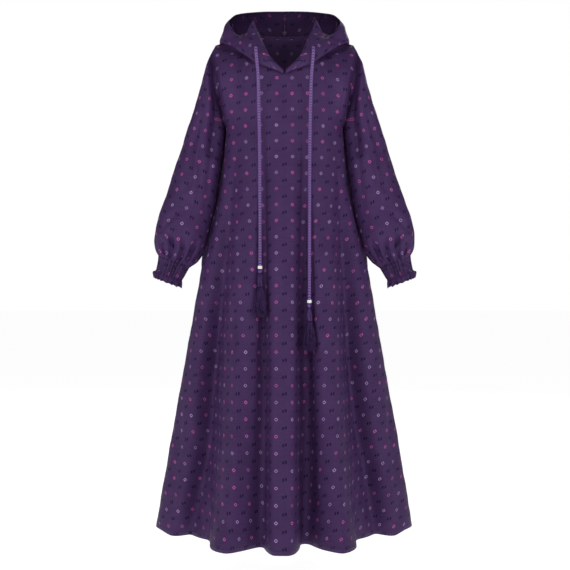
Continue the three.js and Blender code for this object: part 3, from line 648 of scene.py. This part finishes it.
softness = [  # slow unevenness all over: length of a wave in millimetres, its slant, and how deep it is
    (170, 0.5, 1.0), (117, -0.8, 0.7), (76, 1.3, 0.45), (53, -0.35, 0.3),
]
# How a crease is rounded across, how much of it is taken where the cloth turns away, and how it fades near
# the neck and the underarm, in millimetres.
creaseSet = {
    "soften": 0.03, "reach": 1.17, "power": 1.7, "facing": 2.5, "hoodFacing": 2, "hoodSoftness": 0.5,
    "inwards": 0.35, "pressed": 0.7, "cuffInwards": 0.35, "cuffPressed": 0.2, "neckFade": 12, "hoodFade": 25,
    "underarmFrom": 8, "underarmFade": 45, "crossWave": 0.6, "waveShift": 2.3,
}
casing = {"width": 28, "puff": 2.2, "round": 0.7}  # the drawcord's channel in the hood's rim, in millimetres
mapSet = {"yoke": 1.06, "yokeShare": 0.6, "depthShare": 0.25, "sleeveAxis": (0.24, -0.03, -0.97)}
seamSet = {"grid": 50, "sharpFrom": 0.3, "sharpOver": 0.4}


def pictured(points):  # where the camera sees each point, in the photograph's pixels
    away = 1000 * eyePlace["away"] + points[:, 1]
    across = eyePlace["focal"] * points[:, 0] / away
    up = eyePlace["focal"] * (points[:, 2] - 1000 * eyePlace["height"]) / away
    return np.stack([eyePlace["column"] + across, eyePlace["row"] - up], 1)


def creaseDepths(seen, table):
    total = np.zeros(len(seen))
    for line, halves, depths in table:
        line = np.array(line, float)
        run = runAlong(line)
        best, share = np.full(len(seen), 1e9), np.zeros(len(seen))
        for k in range(len(line) - 1):
            step = line[k + 1] - line[k]
            t = np.clip(((seen - line[k]) @ step) / step.dot(step), 0, 1)
            gap = np.linalg.norm(seen - line[k] - t[:, None] * step, axis=1)
            closer = gap < best
            best[closer] = gap[closer]
            share[closer] = ((run[k] + t * (run[k + 1] - run[k])) / run[-1])[closer]
        half = mix(halves[0], halves[1], share)
        depth = np.interp(share, (0, 0.5, 1), depths)
        away = np.sqrt((best / half) ** 2 + creaseSet["soften"])
        total += depth * np.maximum(0, creaseSet["reach"] - away) ** creaseSet["power"]
    return total


def lengthsAlong(points, axis, start):
    step = np.linalg.norm(np.diff(points, axis=axis), axis=-1)
    first = np.zeros_like(np.take(step, [0], axis=axis))
    run = np.concatenate([first, np.cumsum(step, axis=axis)], axis=axis)
    return run - np.take(run, [start], axis=axis)


def vertexNormals(panel):
    points, across = panel["points"], panel["points"].shape[1]
    corners = panel["quads"]
    index = corners[..., 0] * across + corners[..., 1] % across
    flat = points.reshape(-1, 3)
    a, b, c, d = (flat[index[:, k]] for k in range(4))
    normal = np.cross(c - a, d - b)
    normal /= np.maximum(np.linalg.norm(normal, axis=1), 1e-12)[:, None]
    total, into = np.zeros_like(flat), np.zeros_like(flat)
    middle = (a + b + c + d) / 4
    for k in range(4):
        np.add.at(total, index[:, k], normal)
        np.add.at(into, index[:, k], middle - flat[index[:, k]])
    return total, into


panels = {}


def addPanel(name, points, family, turned=False, closed=False):
    panels[name] = {"points": points, "family": family, "turned": turned, "closed": closed,
                    "quads": quadsOf(points, closed, turned)}


flipX = np.array([-1, 1, 1])
addPanel("front", front, "body")
addPanel("back", back, "body", turned=True)
addPanel("sleeve_left", sleeve, "sleeve", turned=True, closed=True)
addPanel("sleeve_right", sleeve * flipX, "sleeve", closed=True)
addPanel("cuff_left", cuff, "sleeve", turned=True, closed=True)
addPanel("cuff_right", cuff * flipX, "sleeve", closed=True)
addPanel("hood_left", hood, "hood")
addPanel("hood_right", hood * flipX, "hood", turned=True)


# The cloth's own coordinates in millimetres: across it, along it, and how far the free edge is.
def clothMap(name, panel):
    points = panel["points"]
    if panel["closed"]:
        points = np.concatenate([points, points[:, :1]], axis=1)
    if panel["family"] == "body":
        middle = points.shape[1] // 2
        across = lengthsAlong(points * (1, 1, 0), 1, middle)
        rise = np.clip((np.arange(len(points)) - skirtRows) / strips["armholeRows"], 0, 1)[:, None]
        across = mix(across, points[..., 0] * mapSet["yoke"], ease(rise / mapSet["yokeShare"]))
        along = lengthsAlong(points * (mapSet["depthShare"], 1, 1), 0, skirtRows)
        edge = lengthsAlong(points, 0, 0)
    elif panel["family"] == "sleeve":
        axis = unit(np.array(mapSet["sleeveAxis"])) * (flipX if name.endswith("right") else 1)
        height = points @ axis
        across = lengthsAlong(points - height[..., None] * axis, 1, points.shape[1] // 4)
        along = -height
        edge = -lengthsAlong(points, 0, len(points) - 1)
    else:
        across = lengthsAlong(points, 1, points.shape[1] - 1)
        along = lengthsAlong(points, 0, 0)
        edge = -lengthsAlong(points, 0, len(points) - 1)
    return across, along, edge


def seamKey(p):
    return tuple(np.round(p * seamSet["grid"]).astype(int))


def boundaryOf(panel):
    rows, across = panel["points"].shape[:2]
    index = np.arange(rows * across).reshape(rows, across)
    held = [index[0], index[-1]]
    if not panel["closed"]:
        held += [index[:, 0], index[:, -1]]
    return np.unique(np.concatenate(held))


seams = {}


def joinSeams():
    seams.clear()
    for panel in panels.values():
        panel["total"], panel["into"] = vertexNormals(panel)
        flat = panel["points"].reshape(-1, 3)
        for k in boundaryOf(panel):
            held = seams.setdefault(seamKey(flat[k]), {})
            held = held.setdefault(panel["family"], [np.zeros(3), np.zeros(3)])
            held[0] += panel["total"][k]
            held[1] += panel["into"][k]


# The direction out of the cloth. Where two families of panels meet, it lies midway between the two cloths.
def outwardAt(p):
    held = list(seams[seamKey(p)].values())
    if len(held) == 1:
        return unit(held[0][0])
    sides = []
    for normal, into in held[:2]:
        n = unit(normal)
        sides.append((n, unit(into - n * into.dot(n))))
    (n1, b1), (n2, b2) = sides
    hollow = 1 if n1.dot(b2) + n2.dot(b1) > 0 else -1
    sharp = ease((-n1.dot(n2) - seamSet["sharpFrom"]) / seamSet["sharpOver"])
    return unit(n1 + n2 + (b1 + b2) * hollow * sharp)


def outwards(panel):
    flat = panel["points"].reshape(-1, 3)
    out = panel["total"] / np.maximum(np.linalg.norm(panel["total"], axis=1), 1e-9)[:, None]
    for k in boundaryOf(panel):
        out[k] = outwardAt(flat[k])
    return out


def softDepths(flat):
    total = np.zeros(len(flat))
    for k, (wave, slant, depth) in enumerate(softness):
        way = 2 * np.pi / wave
        cross = way * creaseSet["crossWave"] * (flat[:, 2] - slant * flat[:, 1]) + creaseSet["waveShift"] * k
        total += depth * (np.sin(way * (flat[:, 0] + slant * flat[:, 2]) + k) * np.sin(cross))
    return total


def hoodDepths(panel, seen, out, soft):  # the casing stands out in a puff, and the neck seam stays closed
    free, fromSeam = panel["map"][2].ravel(), panel["map"][1].ravel()
    puff = casing["puff"] * np.sin(np.pi * np.clip(free / casing["width"], 0, 1)) ** casing["round"]
    creased = creaseDepths(seen, hoodCreases) * ease(-out[:, 1] * creaseSet["hoodFacing"])
    depths = soft * creaseSet["hoodSoftness"] + creased - np.where(free < casing["width"], puff, 0)
    return depths * ease(fromSeam / creaseSet["hoodFade"])


def creaseCloth():
    joinSeams()
    neckSeam = np.concatenate([hood[0], hood[0] * flipX])
    underarm = np.array([body["halfWidth"], 0, body["underarmZ"]])
    made = {}
    for name, panel in panels.items():
        flat = panel["points"].reshape(-1, 3)
        out, seen = outwards(panel), pictured(flat)
        inwards, pressed = softDepths(flat), np.zeros(len(flat))
        if panel["family"] == "hood":
            inwards = hoodDepths(panel, seen, out, inwards)
        else:
            before = creaseDepths(seen, frontCreases) * ease(-out[:, 1] * creaseSet["facing"])
            behind = creaseDepths(seen, backCreases) * ease(out[:, 1] * creaseSet["facing"])
            inwards, pressed = inwards + creaseSet["inwards"] * (before + behind), before - behind
        if panel["family"] == "body":  # the neck seam stays closed
            near = np.min(np.linalg.norm(flat[:, None] - neckSeam[None], axis=2), axis=1)
            near = ease(near / creaseSet["neckFade"])
            inwards, pressed = inwards * near, pressed * near
        for corner in (underarm * flipX, underarm):
            near = np.linalg.norm(flat - corner, axis=1) - creaseSet["underarmFrom"]
            near = ease(near / creaseSet["underarmFade"])
            inwards, pressed = inwards * near, pressed * near
        if name.startswith("cuff"):
            inwards, pressed = inwards * creaseSet["cuffInwards"], pressed * creaseSet["cuffPressed"]
        moved = flat - out * inwards[:, None]
        moved[:, 1] += creaseSet["pressed"] * pressed
        made[name] = moved.reshape(panel["points"].shape)
        if name.startswith("sleeve"):  # the armhole keeps to the body's edge, which has half as many points
            edge = made[name][0, ::2]
            made[name][0, 1::2] = (edge + np.roll(edge, -1, axis=0)) / 2
    for name, panel in panels.items():
        panel["points"] = made[name]
    joinSeams()


def wallPiece(name, panel):  # a panel as a thin closed wall, drawn back a little from its seams
    points = panel["points"]
    rows, across = points.shape[:2]
    flat, out = points.reshape(-1, 3), outwards(panel)
    drawn = np.zeros_like(flat)
    for k in boundaryOf(panel):
        r, c = divmod(int(k), across)
        steps = [(1, 0)] * (r == 0) + [(-1, 0)] * (r == rows - 1)
        if not panel["closed"]:
            steps += [(0, 1)] * (c == 0) + [(0, -1)] * (c == across - 1)
        for down, aside in steps:
            drawn[k] += unit(points[r + down, c + aside] - flat[k])
    outer = flat + drawn * body["seamGap"] / 2
    inner = outer - out * body["clothThickness"]
    count = len(outer)
    corners = panel["quads"]
    index = corners[..., 0] * across + corners[..., 1] % across
    faces = np.concatenate([index, index[:, ::-1] + count])
    places = np.concatenate([corners, corners[:, ::-1]]).reshape(-1, 2)
    rim = []

    def edge(a, b):
        p, q = (b, a) if panel["turned"] else (a, b)
        rim.append([q, p, p, q])

    cells = across if panel["closed"] else across - 1
    for c in range(cells):
        edge((0, c), (0, c + 1))
        edge((rows - 1, c + 1), (rows - 1, c))
    if not panel["closed"]:
        for r in range(rows - 1):
            edge((r + 1, 0), (r, 0))
            edge((r, across - 1), (r + 1, across - 1))
    rim = np.array(rim)
    rimIndex = rim[..., 0] * across + rim[..., 1] % across
    rimIndex[:, 2:] += count
    faces = np.concatenate([faces, rimIndex])
    places = np.concatenate([places, rim.reshape(-1, 2)])
    piece = makePiece(name + "_cloth", np.concatenate([outer, inner]) * 0.001, faces.tolist())
    piece.data.polygons.foreach_set("use_smooth", np.arange(len(faces)) < len(faces) - len(rim))
    u, v, free = panel["map"]
    uv = np.stack([u[places[:, 0], places[:, 1]], v[places[:, 0], places[:, 1]]], 1) * 0.001
    piece.data.uv_layers.new(name="cloth").data.foreach_set("uv", uv.ravel())
    # The reverse attribute marks the inner faces; the cloth's finish paints them darker, as painted shade
    # inside the garment.
    reverse = piece.data.attributes.new("reverse", "FLOAT", "POINT")
    reverse.data.foreach_set("value", np.repeat([0.0, 1.0], count))
    distance = piece.data.attributes.new("fromEdge", "FLOAT", "POINT")
    distance.data.foreach_set("value", np.tile(np.asarray(free[:, :across]).ravel() * 0.001, 2))
    return piece


# The reverse colour is painted shade on the cloth's inner faces.
# The seam colour is painted shade in the stitch grooves and in the front's seam groove.
# The worn colour makes random lighter patches, and also a painted highlight along the cloth's free edges.
clothSet = {
    "deep": rgb(57, 36, 76), "pale": rgb(76, 51, 97), "worn": rgb(84, 59, 105), "seam": rgb(28, 17, 42),
    "reverse": rgb(30, 18, 46), "thread": rgb(98, 78, 122), "slub": (30.0, 620.0), "slubRange": (0.2, 0.8),
    "slubShare": (0.7, 0.15), "cloud": 14.0, "cloudRange": (0.3, 0.75), "cloudShare": 0.35,
    "yarn": 0.0011, "reverseShare": 0.42, "edge": (0.0022, 0.0004), "rimHighlightShare": 0.12, "bump": (0.6, 0.0006),
    "heights": (0.5, 0.12), "rough": (0.18, 0.5), "specular": 0.12,
}
printSet = {
    "pitch": 0.0437, "ring": 0.0039, "line": (0.001235, 0.0005225), "curve": 1.15, "twinApart": 0.0036,
    "twinAcross": (0.0027, 0.0019), "twinAlong": (0.0046, 0.0032), "twinSlant": 0.2, "twinShare": 0.85,
    "lilac": rgb(192, 162, 214), "pink": rgb(222, 104, 180), "navy": rgb(20, 13, 44), "wornRange": (0.2, 0.6),
    "wornShare": (0.4, 0.6), "split": (0.45, 0.55), "shuffle": 7.13, "fadeShare": (0.45, 0.55),
}
stitchSet = {
    "groove": (0.0016, 0.0004), "grooveDepth": 1.6, "grooveShadeShare": 0.7, "line": (0.00055, 0.0003),
    "pitch": 0.0034, "middle": 0.45, "ends": (0.42, 0.34), "rise": 1.2, "lineShare": 0.8,
    "seam": (0.0013, 0.0004), "seamDepth": 0.8, "seamShadeShare": 0.12,
}
clothKinds = {  # how far the stitch rows are from the free edge, the print's shift, and how the cloth is held
    "front": ((0.012,), (0, 0.0284), "hung"), "back": ((0.012,), (0, 0.006), "hung"),
    "sleeve": ((), (0.0218, 0.01), "gathered"),
    "cuff": ((0.021, 0.0285, 0.036, 0.0435, 0.051), (0.0229, 0.02), "gathered"),
    "hood": ((0.0275,), (0.0229, 0.0), "gathered"),
}


def clothFinish(kind, stitchRows, shift):
    material, shader = newFinish("printed_cloth_" + kind)
    uv = makeNode(material, "ShaderNodeUVMap", {"uv_map": "cloth"})
    u, v = axisOf(material, uv, 0), axisOf(material, uv, 1)
    free = makeNode(material, "ShaderNodeAttribute", {"attribute_name": "fromEdge"}, {}, out=2)
    pitch, curve = printSet["pitch"], printSet["curve"]
    a, b = (u + shift[0]) / pitch, (v + shift[1]) / pitch
    cell = makeNode(material, "ShaderNodeCombineXYZ", {}, {0: a.floor(), 1: b.floor()})
    chance = makeNode(material, "ShaderNodeTexWhiteNoise", {"noise_dimensions": "2D"}, {"Vector": cell})
    x, y = (a.fraction() - 0.5).size() * pitch, (b.fraction() - 0.5).size() * pitch
    reach = (x**curve + y**curve) ** (1 / curve)
    ring = (reach - printSet["ring"]).size().step(*printSet["line"])
    c, d = ((a + 0.5).fraction() - 0.5) * pitch, ((b + 0.5).fraction() - 0.5) * pitch
    twin = ((c.size() - printSet["twinApart"]).size().step(*printSet["twinAcross"])
            * (d - c * printSet["twinSlant"]).size().step(*printSet["twinAlong"]))
    slubPlace = makeNode(material, "ShaderNodeCombineXYZ", {},
                         {0: u * clothSet["slub"][0], 1: v * clothSet["slub"][1]})
    slub = noiseOver(material, slubPlace, 1.0, 3.0)
    cloudy = noiseOver(material, uv, clothSet["cloud"], 4.0).step(*clothSet["cloudRange"])
    yarn = 2 * math.pi / clothSet["yarn"]
    slubbed = slub.step(*clothSet["slubRange"]).scaled(*clothSet["slubShare"])
    ground = blendColours(material, slubbed, clothSet["deep"], clothSet["pale"])
    ground = blendColours(material, cloudy * clothSet["cloudShare"], ground, clothSet["worn"])
    ink = blendColours(material, chance.step(*printSet["split"]), printSet["lilac"], printSet["pink"])
    worn = (slub.step(*printSet["wornRange"]).scaled(*printSet["wornShare"])
            * (chance * printSet["shuffle"]).fraction().scaled(*printSet["fadeShare"]))
    colour = blendColours(material, ring * worn, ground, ink)
    colour = blendColours(material, twin * printSet["twinShare"], colour, printSet["navy"])
    slubHeight, weaveHeight = clothSet["heights"]
    height = slub * slubHeight + (u * yarn).wave() * (v * yarn).wave() * weaveHeight
    for distance in stitchRows:
        line = (free - distance).size()
        groove = line.step(*stitchSet["groove"])
        dash = ((u / stitchSet["pitch"]).fraction() - stitchSet["middle"]).size().step(*stitchSet["ends"])
        stitch = line.step(*stitchSet["line"]) * dash
        height = height - groove * stitchSet["grooveDepth"] + stitch * stitchSet["rise"]
        # The stitch groove is painted darker with the seam colour: painted shade in the groove.
        colour = blendColours(material, groove * stitchSet["grooveShadeShare"], colour, clothSet["seam"])
        colour = blendColours(material, stitch * stitchSet["lineShare"], colour, clothSet["thread"])
    if kind == "front":  # the seam down its middle
        # The seam line is sunk and painted darker with the seam colour, as painted shade in its groove.
        line = u.size().step(*stitchSet["seam"])
        height = height - line * stitchSet["seamDepth"]
        colour = blendColours(material, line * stitchSet["seamShadeShare"], colour, clothSet["seam"])
    # The inner faces are painted darker with the reverse colour: painted shade inside the neck, the hood and
    # the sleeves.
    reverse = makeNode(material, "ShaderNodeAttribute", {"attribute_name": "reverse"}, {}, out=2)
    colour = blendColours(material, reverse * clothSet["reverseShare"], colour, clothSet["reverse"])
    # Within about two millimetres of the free edges the cloth is painted lighter with the worn colour: a
    # painted highlight along the rims.
    edge = free.step(*clothSet["edge"])
    colour = blendColours(material, edge * clothSet["rimHighlightShare"], colour, clothSet["worn"])
    setInputs(material, shader, {
        "Base Color": colour, "Roughness": slub.scaled(*clothSet["rough"]),
        "Normal": bumpOf(material, height, *clothSet["bump"]), "Specular IOR Level": clothSet["specular"],
    })
    return material


finishes = {kind: clothFinish(kind, rows, shift) for kind, (rows, shift, held) in clothKinds.items()}
for name, panel in panels.items():
    panel["map"] = clothMap(name, panel)
creaseCloth()
for name, panel in panels.items():
    kind = name.split("_")[0]
    panel["map"] = clothMap(name, panel)
    piece = wallPiece(name, panel)
    settle(piece, "cloth", finishes[kind], name)
    length = float(np.max(np.ptp(panel["map"][1], axis=0)) * 0.001)
print("cloth made")

beadSet = {
    "radius": 0.0062, "height": 0.0082, "bore": 0.0047, "rise": 0.0056, "sides": 48, "endShare": 0.9,
    "bevel": 0.0016, "bevelSteps": 4, "smooth": 50, "shade": rgb(250, 249, 252), "white": rgb(255, 254, 255),
    "cloud": 260.0, "cloudRange": (0.35, 0.7), "bump": (0.15, 0.0003), "coat": 0.4,
    "rough": (0.12, 0.14),
}
eyeletSet = {
    "radius": 0.0056, "thickness": 0.0012, "sides": 48, "tubeSides": 10, "stretch": 1.3, "before": 0.0012,
    "tilt": 74, "turn": 18, "smooth": 60,
}
tasselSet = {
    "gap": 0.0005, "lean": 7, "strands": 84, "strandRadius": 0.0011, "strandSides": 4, "strandSteps": 7,
    "turn": 2.39996, "rootDepth": 0.04, "tipDepth": 0.1235, "tipRise": 0.005, "tipUneven": (0.003, 0.002),
    "rootSpread": 0.0046, "tipSpread": (0.0185, 0.0072), "tipForward": 0.0155, "bow": 0.16,
    "bowUneven": (0.0012, 0.0008), "taper": 0.35, "wander": 0.0006, "headSides": 32, "smooth": 50,
    "collar": [
        (0.003, 0), (0.0052, 0.0012), (0.0056, 0.0038), (0.0054, 0.0064), (0.0032, 0.0084), (0.003, 0.0094),
    ],
    "head": [
        (0.0026, 0.009), (0.0042, 0.0114), (0.0062, 0.0158), (0.0067, 0.022), (0.0072, 0.034),
        (0.0076, 0.0445), (0.003, 0.0452),
    ],
}
# The head's colours are lighter than the strands' though it is the same thread: a painted highlight on its
# round top.
threadSet = {  # strands, head and bound are each a darker and a lighter colour
    "grain": (380.0, 380.0, 16.0), "grainRange": (0.35, 0.65), "winding": 0.0016, "relief": 0.0004,
    "woundBump": 0.5, "plainBump": 0.1, "heights": (0.8, 0.2), "rough": (0.2, 0.3), "sheen": 0.05,
    "specular": 0.2, "strands": (rgb(26, 8, 42), rgb(62, 30, 92)),
    "head": (rgb(32, 12, 52), rgb(80, 48, 112)), "bound": (rgb(62, 34, 94), rgb(134, 96, 172)),
}


def setMode(mode):
    bpy.ops.object.mode_set(mode=mode)


def newShape(name, make, **sizes):  # one of Blender's own shapes, with nothing else selected
    bpy.ops.object.select_all(action="DESELECT")
    make(**sizes)
    piece = bpy.context.active_object
    piece.name = name
    return piece


def selectEnds(piece):  # ends in edit mode, with the faces that look up or down selected
    if bpy.context.mode != "OBJECT":
        setMode("OBJECT")
    bpy.ops.object.select_all(action="DESELECT")
    piece.select_set(True)
    bpy.context.view_layer.objects.active = piece
    setMode("EDIT")
    bpy.ops.mesh.select_mode(type="FACE")
    bpy.ops.mesh.select_all(action="DESELECT")
    setMode("OBJECT")
    for face in piece.data.polygons:
        face.select = abs(face.normal.z) > beadSet["endShare"]
    setMode("EDIT")


def finishMesh(smoothAngle, mergeWithin=0.00002):
    setMode("EDIT")
    bpy.ops.mesh.select_all(action="SELECT")
    bpy.ops.mesh.remove_doubles(threshold=mergeWithin)
    bpy.ops.mesh.normals_make_consistent(inside=False)
    setMode("OBJECT")
    bpy.ops.object.transform_apply(location=True, rotation=True, scale=True)
    bpy.ops.object.shade_smooth_by_angle(angle=math.radians(smoothAngle))


def makeEyelet(name, centre, turn):  # a stitched ring round the hole that a cord comes out of
    piece = newShape(
        name, bpy.ops.mesh.primitive_torus_add, location=centre,
        rotation=(math.radians(eyeletSet["tilt"]), 0, math.radians(turn)),
        major_radius=eyeletSet["radius"], minor_radius=eyeletSet["thickness"],
        major_segments=eyeletSet["sides"], minor_segments=eyeletSet["tubeSides"])
    setMode("EDIT")
    bpy.ops.mesh.select_all(action="SELECT")
    bpy.ops.transform.resize(value=(1, 1, eyeletSet["stretch"]), center_override=tuple(centre))
    setMode("OBJECT")
    finishMesh(eyeletSet["smooth"])
    return piece


def turnedPiece(name, top, rings, sides):  # rings hold a radius and a depth below top
    piece = newShape(name, bpy.ops.mesh.primitive_circle_add, vertices=sides, radius=rings[0][0],
                     fill_type="NGON", location=top - Vector((0, 0, rings[0][1])))
    setMode("EDIT")
    for (r0, d0), (r1, d1) in zip(rings, rings[1:]):
        bpy.ops.mesh.extrude_region_move(TRANSFORM_OT_translate={"value": (0, 0, d0 - d1)})
        bpy.ops.transform.resize(value=(r1 / r0, r1 / r0, 1), center_override=(top.x, top.y, top.z - d1))
    setMode("OBJECT")
    finishMesh(tasselSet["smooth"])
    return piece


def makeBead(name, centre):
    piece = newShape(name, bpy.ops.mesh.primitive_cylinder_add, vertices=beadSet["sides"],
                     radius=beadSet["radius"], depth=beadSet["height"], location=centre)
    selectEnds(piece)
    bpy.ops.mesh.inset(thickness=beadSet["radius"] - beadSet["bore"], depth=0)
    bpy.ops.mesh.bridge_edge_loops()  # opens the bore
    selectEnds(piece)
    bpy.ops.mesh.bevel(offset=beadSet["bevel"], segments=beadSet["bevelSteps"], affect="EDGES")
    setMode("OBJECT")
    finishMesh(beadSet["smooth"])
    return piece


def beadFinish():
    material, shader = newFinish("glossy_bead")
    place = makeNode(material, "ShaderNodeTexCoord", {}, {}, out=3)
    cloudy = noiseOver(material, place, beadSet["cloud"], 3.0)
    colour = blendColours(material, cloudy.step(*beadSet["cloudRange"]), beadSet["shade"], beadSet["white"])
    setInputs(material, shader, {
        "Base Color": colour, "Roughness": cloudy.scaled(*beadSet["rough"]),
        "Normal": bumpOf(material, cloudy, *beadSet["bump"]), "Coat Weight": beadSet["coat"],
    })
    return material


def threadFinish(name, colours, isWound=False):
    material, shader = newFinish(name)
    place = makeNode(material, "ShaderNodeTexCoord", {}, {}, out=3)
    stretched = makeNode(material, "ShaderNodeMapping", {}, {"Vector": place, "Scale": threadSet["grain"]})
    grain = noiseOver(material, stretched, 1.0, 2.0)
    height, strength = grain, threadSet["plainBump"]
    if isWound:
        wound = (axisOf(material, place, 2) * (2 * math.pi / threadSet["winding"])).wave().scaled(0.5, 0.5)
        woundHeight, grainHeight = threadSet["heights"]
        height, strength = wound * woundHeight + grain * grainHeight, threadSet["woundBump"]
    setInputs(material, shader, {
        "Base Color": blendColours(material, grain.step(*threadSet["grainRange"]), *colours),
        "Roughness": grain.scaled(*threadSet["rough"]),
        "Normal": bumpOf(material, height, strength, threadSet["relief"]),
        "Sheen Weight": threadSet["sheen"], "Specular IOR Level": threadSet["specular"],
    })
    return material


def strandMesh():  # the loose skirt of one tassel, with its top at the origin
    form = tasselSet
    sides, steps, count = form["strandSides"], form["strandSteps"], form["strands"]
    points, faces = [], []
    lean = math.tan(math.radians(form["lean"]))
    for k in range(count):
        out = math.sqrt((k + 0.5) / count)
        turn = k * form["turn"]
        c, s = out * math.cos(turn), out * math.sin(turn)
        tipDepth = (form["tipDepth"] - form["tipRise"] * out - form["tipUneven"][0] * math.sin(5 * k)
                    - form["tipUneven"][1] * math.sin(2.3 * k))
        root = np.array([form["rootSpread"] * c, -form["rootDepth"] * lean + form["rootSpread"] * s,
                         -form["rootDepth"]])
        tip = np.array([form["tipSpread"][0] * c, form["tipSpread"][1] * s - form["tipForward"], -tipDepth])
        bend = (root + tip) / 2
        bend[0] += form["bow"] * (tip[0] - root[0]) + form["bowUneven"][0] * math.sin(7 * k)
        bend[1] += form["bowUneven"][1] * math.cos(3 * k)
        line = curveAt([root, bend, tip], np.linspace(0, 1, steps + 1))
        face, side = sweepFrames(line)
        base = len(points)
        for j in range(steps + 1):
            r = form["strandRadius"] * (1 - form["taper"] * (j / steps) ** 3)
            wander = form["wander"] * math.sin(1.7 * k + 2.1 * j) * (j / steps)
            for m in range(sides):
                a = 2 * math.pi * m / sides + 0.5
                across = r * (math.cos(a) * face[j] + math.sin(a) * side[j])
                points.append(line[j] + side[j] * wander + across)
        for j in range(steps):
            for m in range(sides):
                n = (m + 1) % sides
                low, high = base + j * sides, base + (j + 1) * sides
                faces.append((low + m, high + m, high + n, low + n))
        faces.append(tuple(base + m for m in range(sides)))
        faces.append(tuple(base + steps * sides + m for m in reversed(range(sides))))
    return points, faces


beadWhite = beadFinish()
strandFinish = threadFinish("tassel_threads", threadSet["strands"])
# The head finish is painted lighter than the strands, as a painted highlight; the eyelets use it too.
headHighlightFinish = threadFinish("tassel_head", threadSet["head"])
boundFinish = threadFinish("bound_threads", threadSet["bound"], isWound=True)
strandPoints, strandFaces = strandMesh()
headLean = math.tan(math.radians(tasselSet["lean"]))
for side, cord in cords.items():
    end, start = cord["end"], Vector(cordRoutes[side][0])
    beadPiece = makeBead("bead_white_" + side, end + Vector((0, 0, beadSet["rise"])))
    settle(beadPiece, "bead", beadWhite, "bead_" + side)
    eyelet = makeEyelet("eyelet_" + side, start - Vector((0, eyeletSet["before"], 0)),
                        eyeletSet["turn"] if side == "left" else -eyeletSet["turn"])
    settle(eyelet, "cloth", headHighlightFinish)
    top = end - Vector((0, 0, tasselSet["gap"]))
    for part, finish in (("collar", boundFinish), ("head", headHighlightFinish)):
        made = turnedPiece("tassel_" + part + "_" + side, top, tasselSet[part], tasselSet["headSides"])
        for vertex in made.data.vertices:  # the head leans forward as the tassel does
            vertex.co.y += (vertex.co.z - top.z) * headLean
        settle(made, "tassel", finish)
    strands = makePiece("tassel_skirt_" + side, [Vector(p) + top for p in strandPoints], strandFaces)
    settle(strands, "tassel", strandFinish, "tassel_" + side)
    2 * cordSet["radius"]
print("beads and tassels made")

stageSet = {
    "floor": -1.47, "reach": 60, "world": 0.05, "glow": 0.96, "grey": (0.3, 0.3, 0.3, 1),
    "white": (1, 1, 1, 1), "aim": (0, 0, -0.6),
}
floor = newShape("floor", bpy.ops.mesh.primitive_plane_add, size=stageSet["reach"],
                 location=(0, 0, stageSet["floor"]))
pale, paleShader = newFinish("pale_floor")
setInputs(pale, paleShader, {"Base Color": stageSet["grey"], "Roughness": 0.9,
                             "Emission Color": stageSet["white"], "Emission Strength": stageSet["glow"]})
floor.data.materials.append(pale)

world = bpy.data.worlds.new("studio")
bpy.context.scene.world = world
world.use_nodes = True
sky = world.node_tree.nodes["Background"]
sky.inputs["Color"].default_value = stageSet["white"]
# The camera sees white paper, and the cloth is lit by a much darker dome.
seenSky = makeNode(world, "ShaderNodeLightPath", {}, {}, out=0)
strength = seenSky * (1 - stageSet["world"]) + stageSet["world"]
world.node_tree.links.new(strength.socket, sky.inputs["Strength"])
bpy.context.scene.view_settings.view_transform = "Standard"

lamps = [  # name, place, size, power
    ("key", (-0.3, -3.8, 1.3), 1.1, 30),
    ("left", (-2.9, -2.2, 0.5), 0.9, 26),
    ("right", (2.9, -2.2, 0.5), 0.9, 26),
    ("fill", (0.4, -3.6, -0.6), 1.8, 5),
    ("top", (0.2, -0.4, 2.6), 1.6, 5),
    ("behind", (0.6, 3.4, 1.6), 2.2, 60),
]
for name, place, size, power in lamps:
    light = bpy.data.lights.new(name, "AREA")
    light.size, light.energy = size, power
    lamp = bpy.data.objects.new(name, light)
    lamp.location = place
    lamp.rotation_euler = (Vector(stageSet["aim"]) - Vector(place)).to_track_quat("-Z", "Y").to_euler()
    bpy.context.collection.objects.link(lamp)
print("stage made")
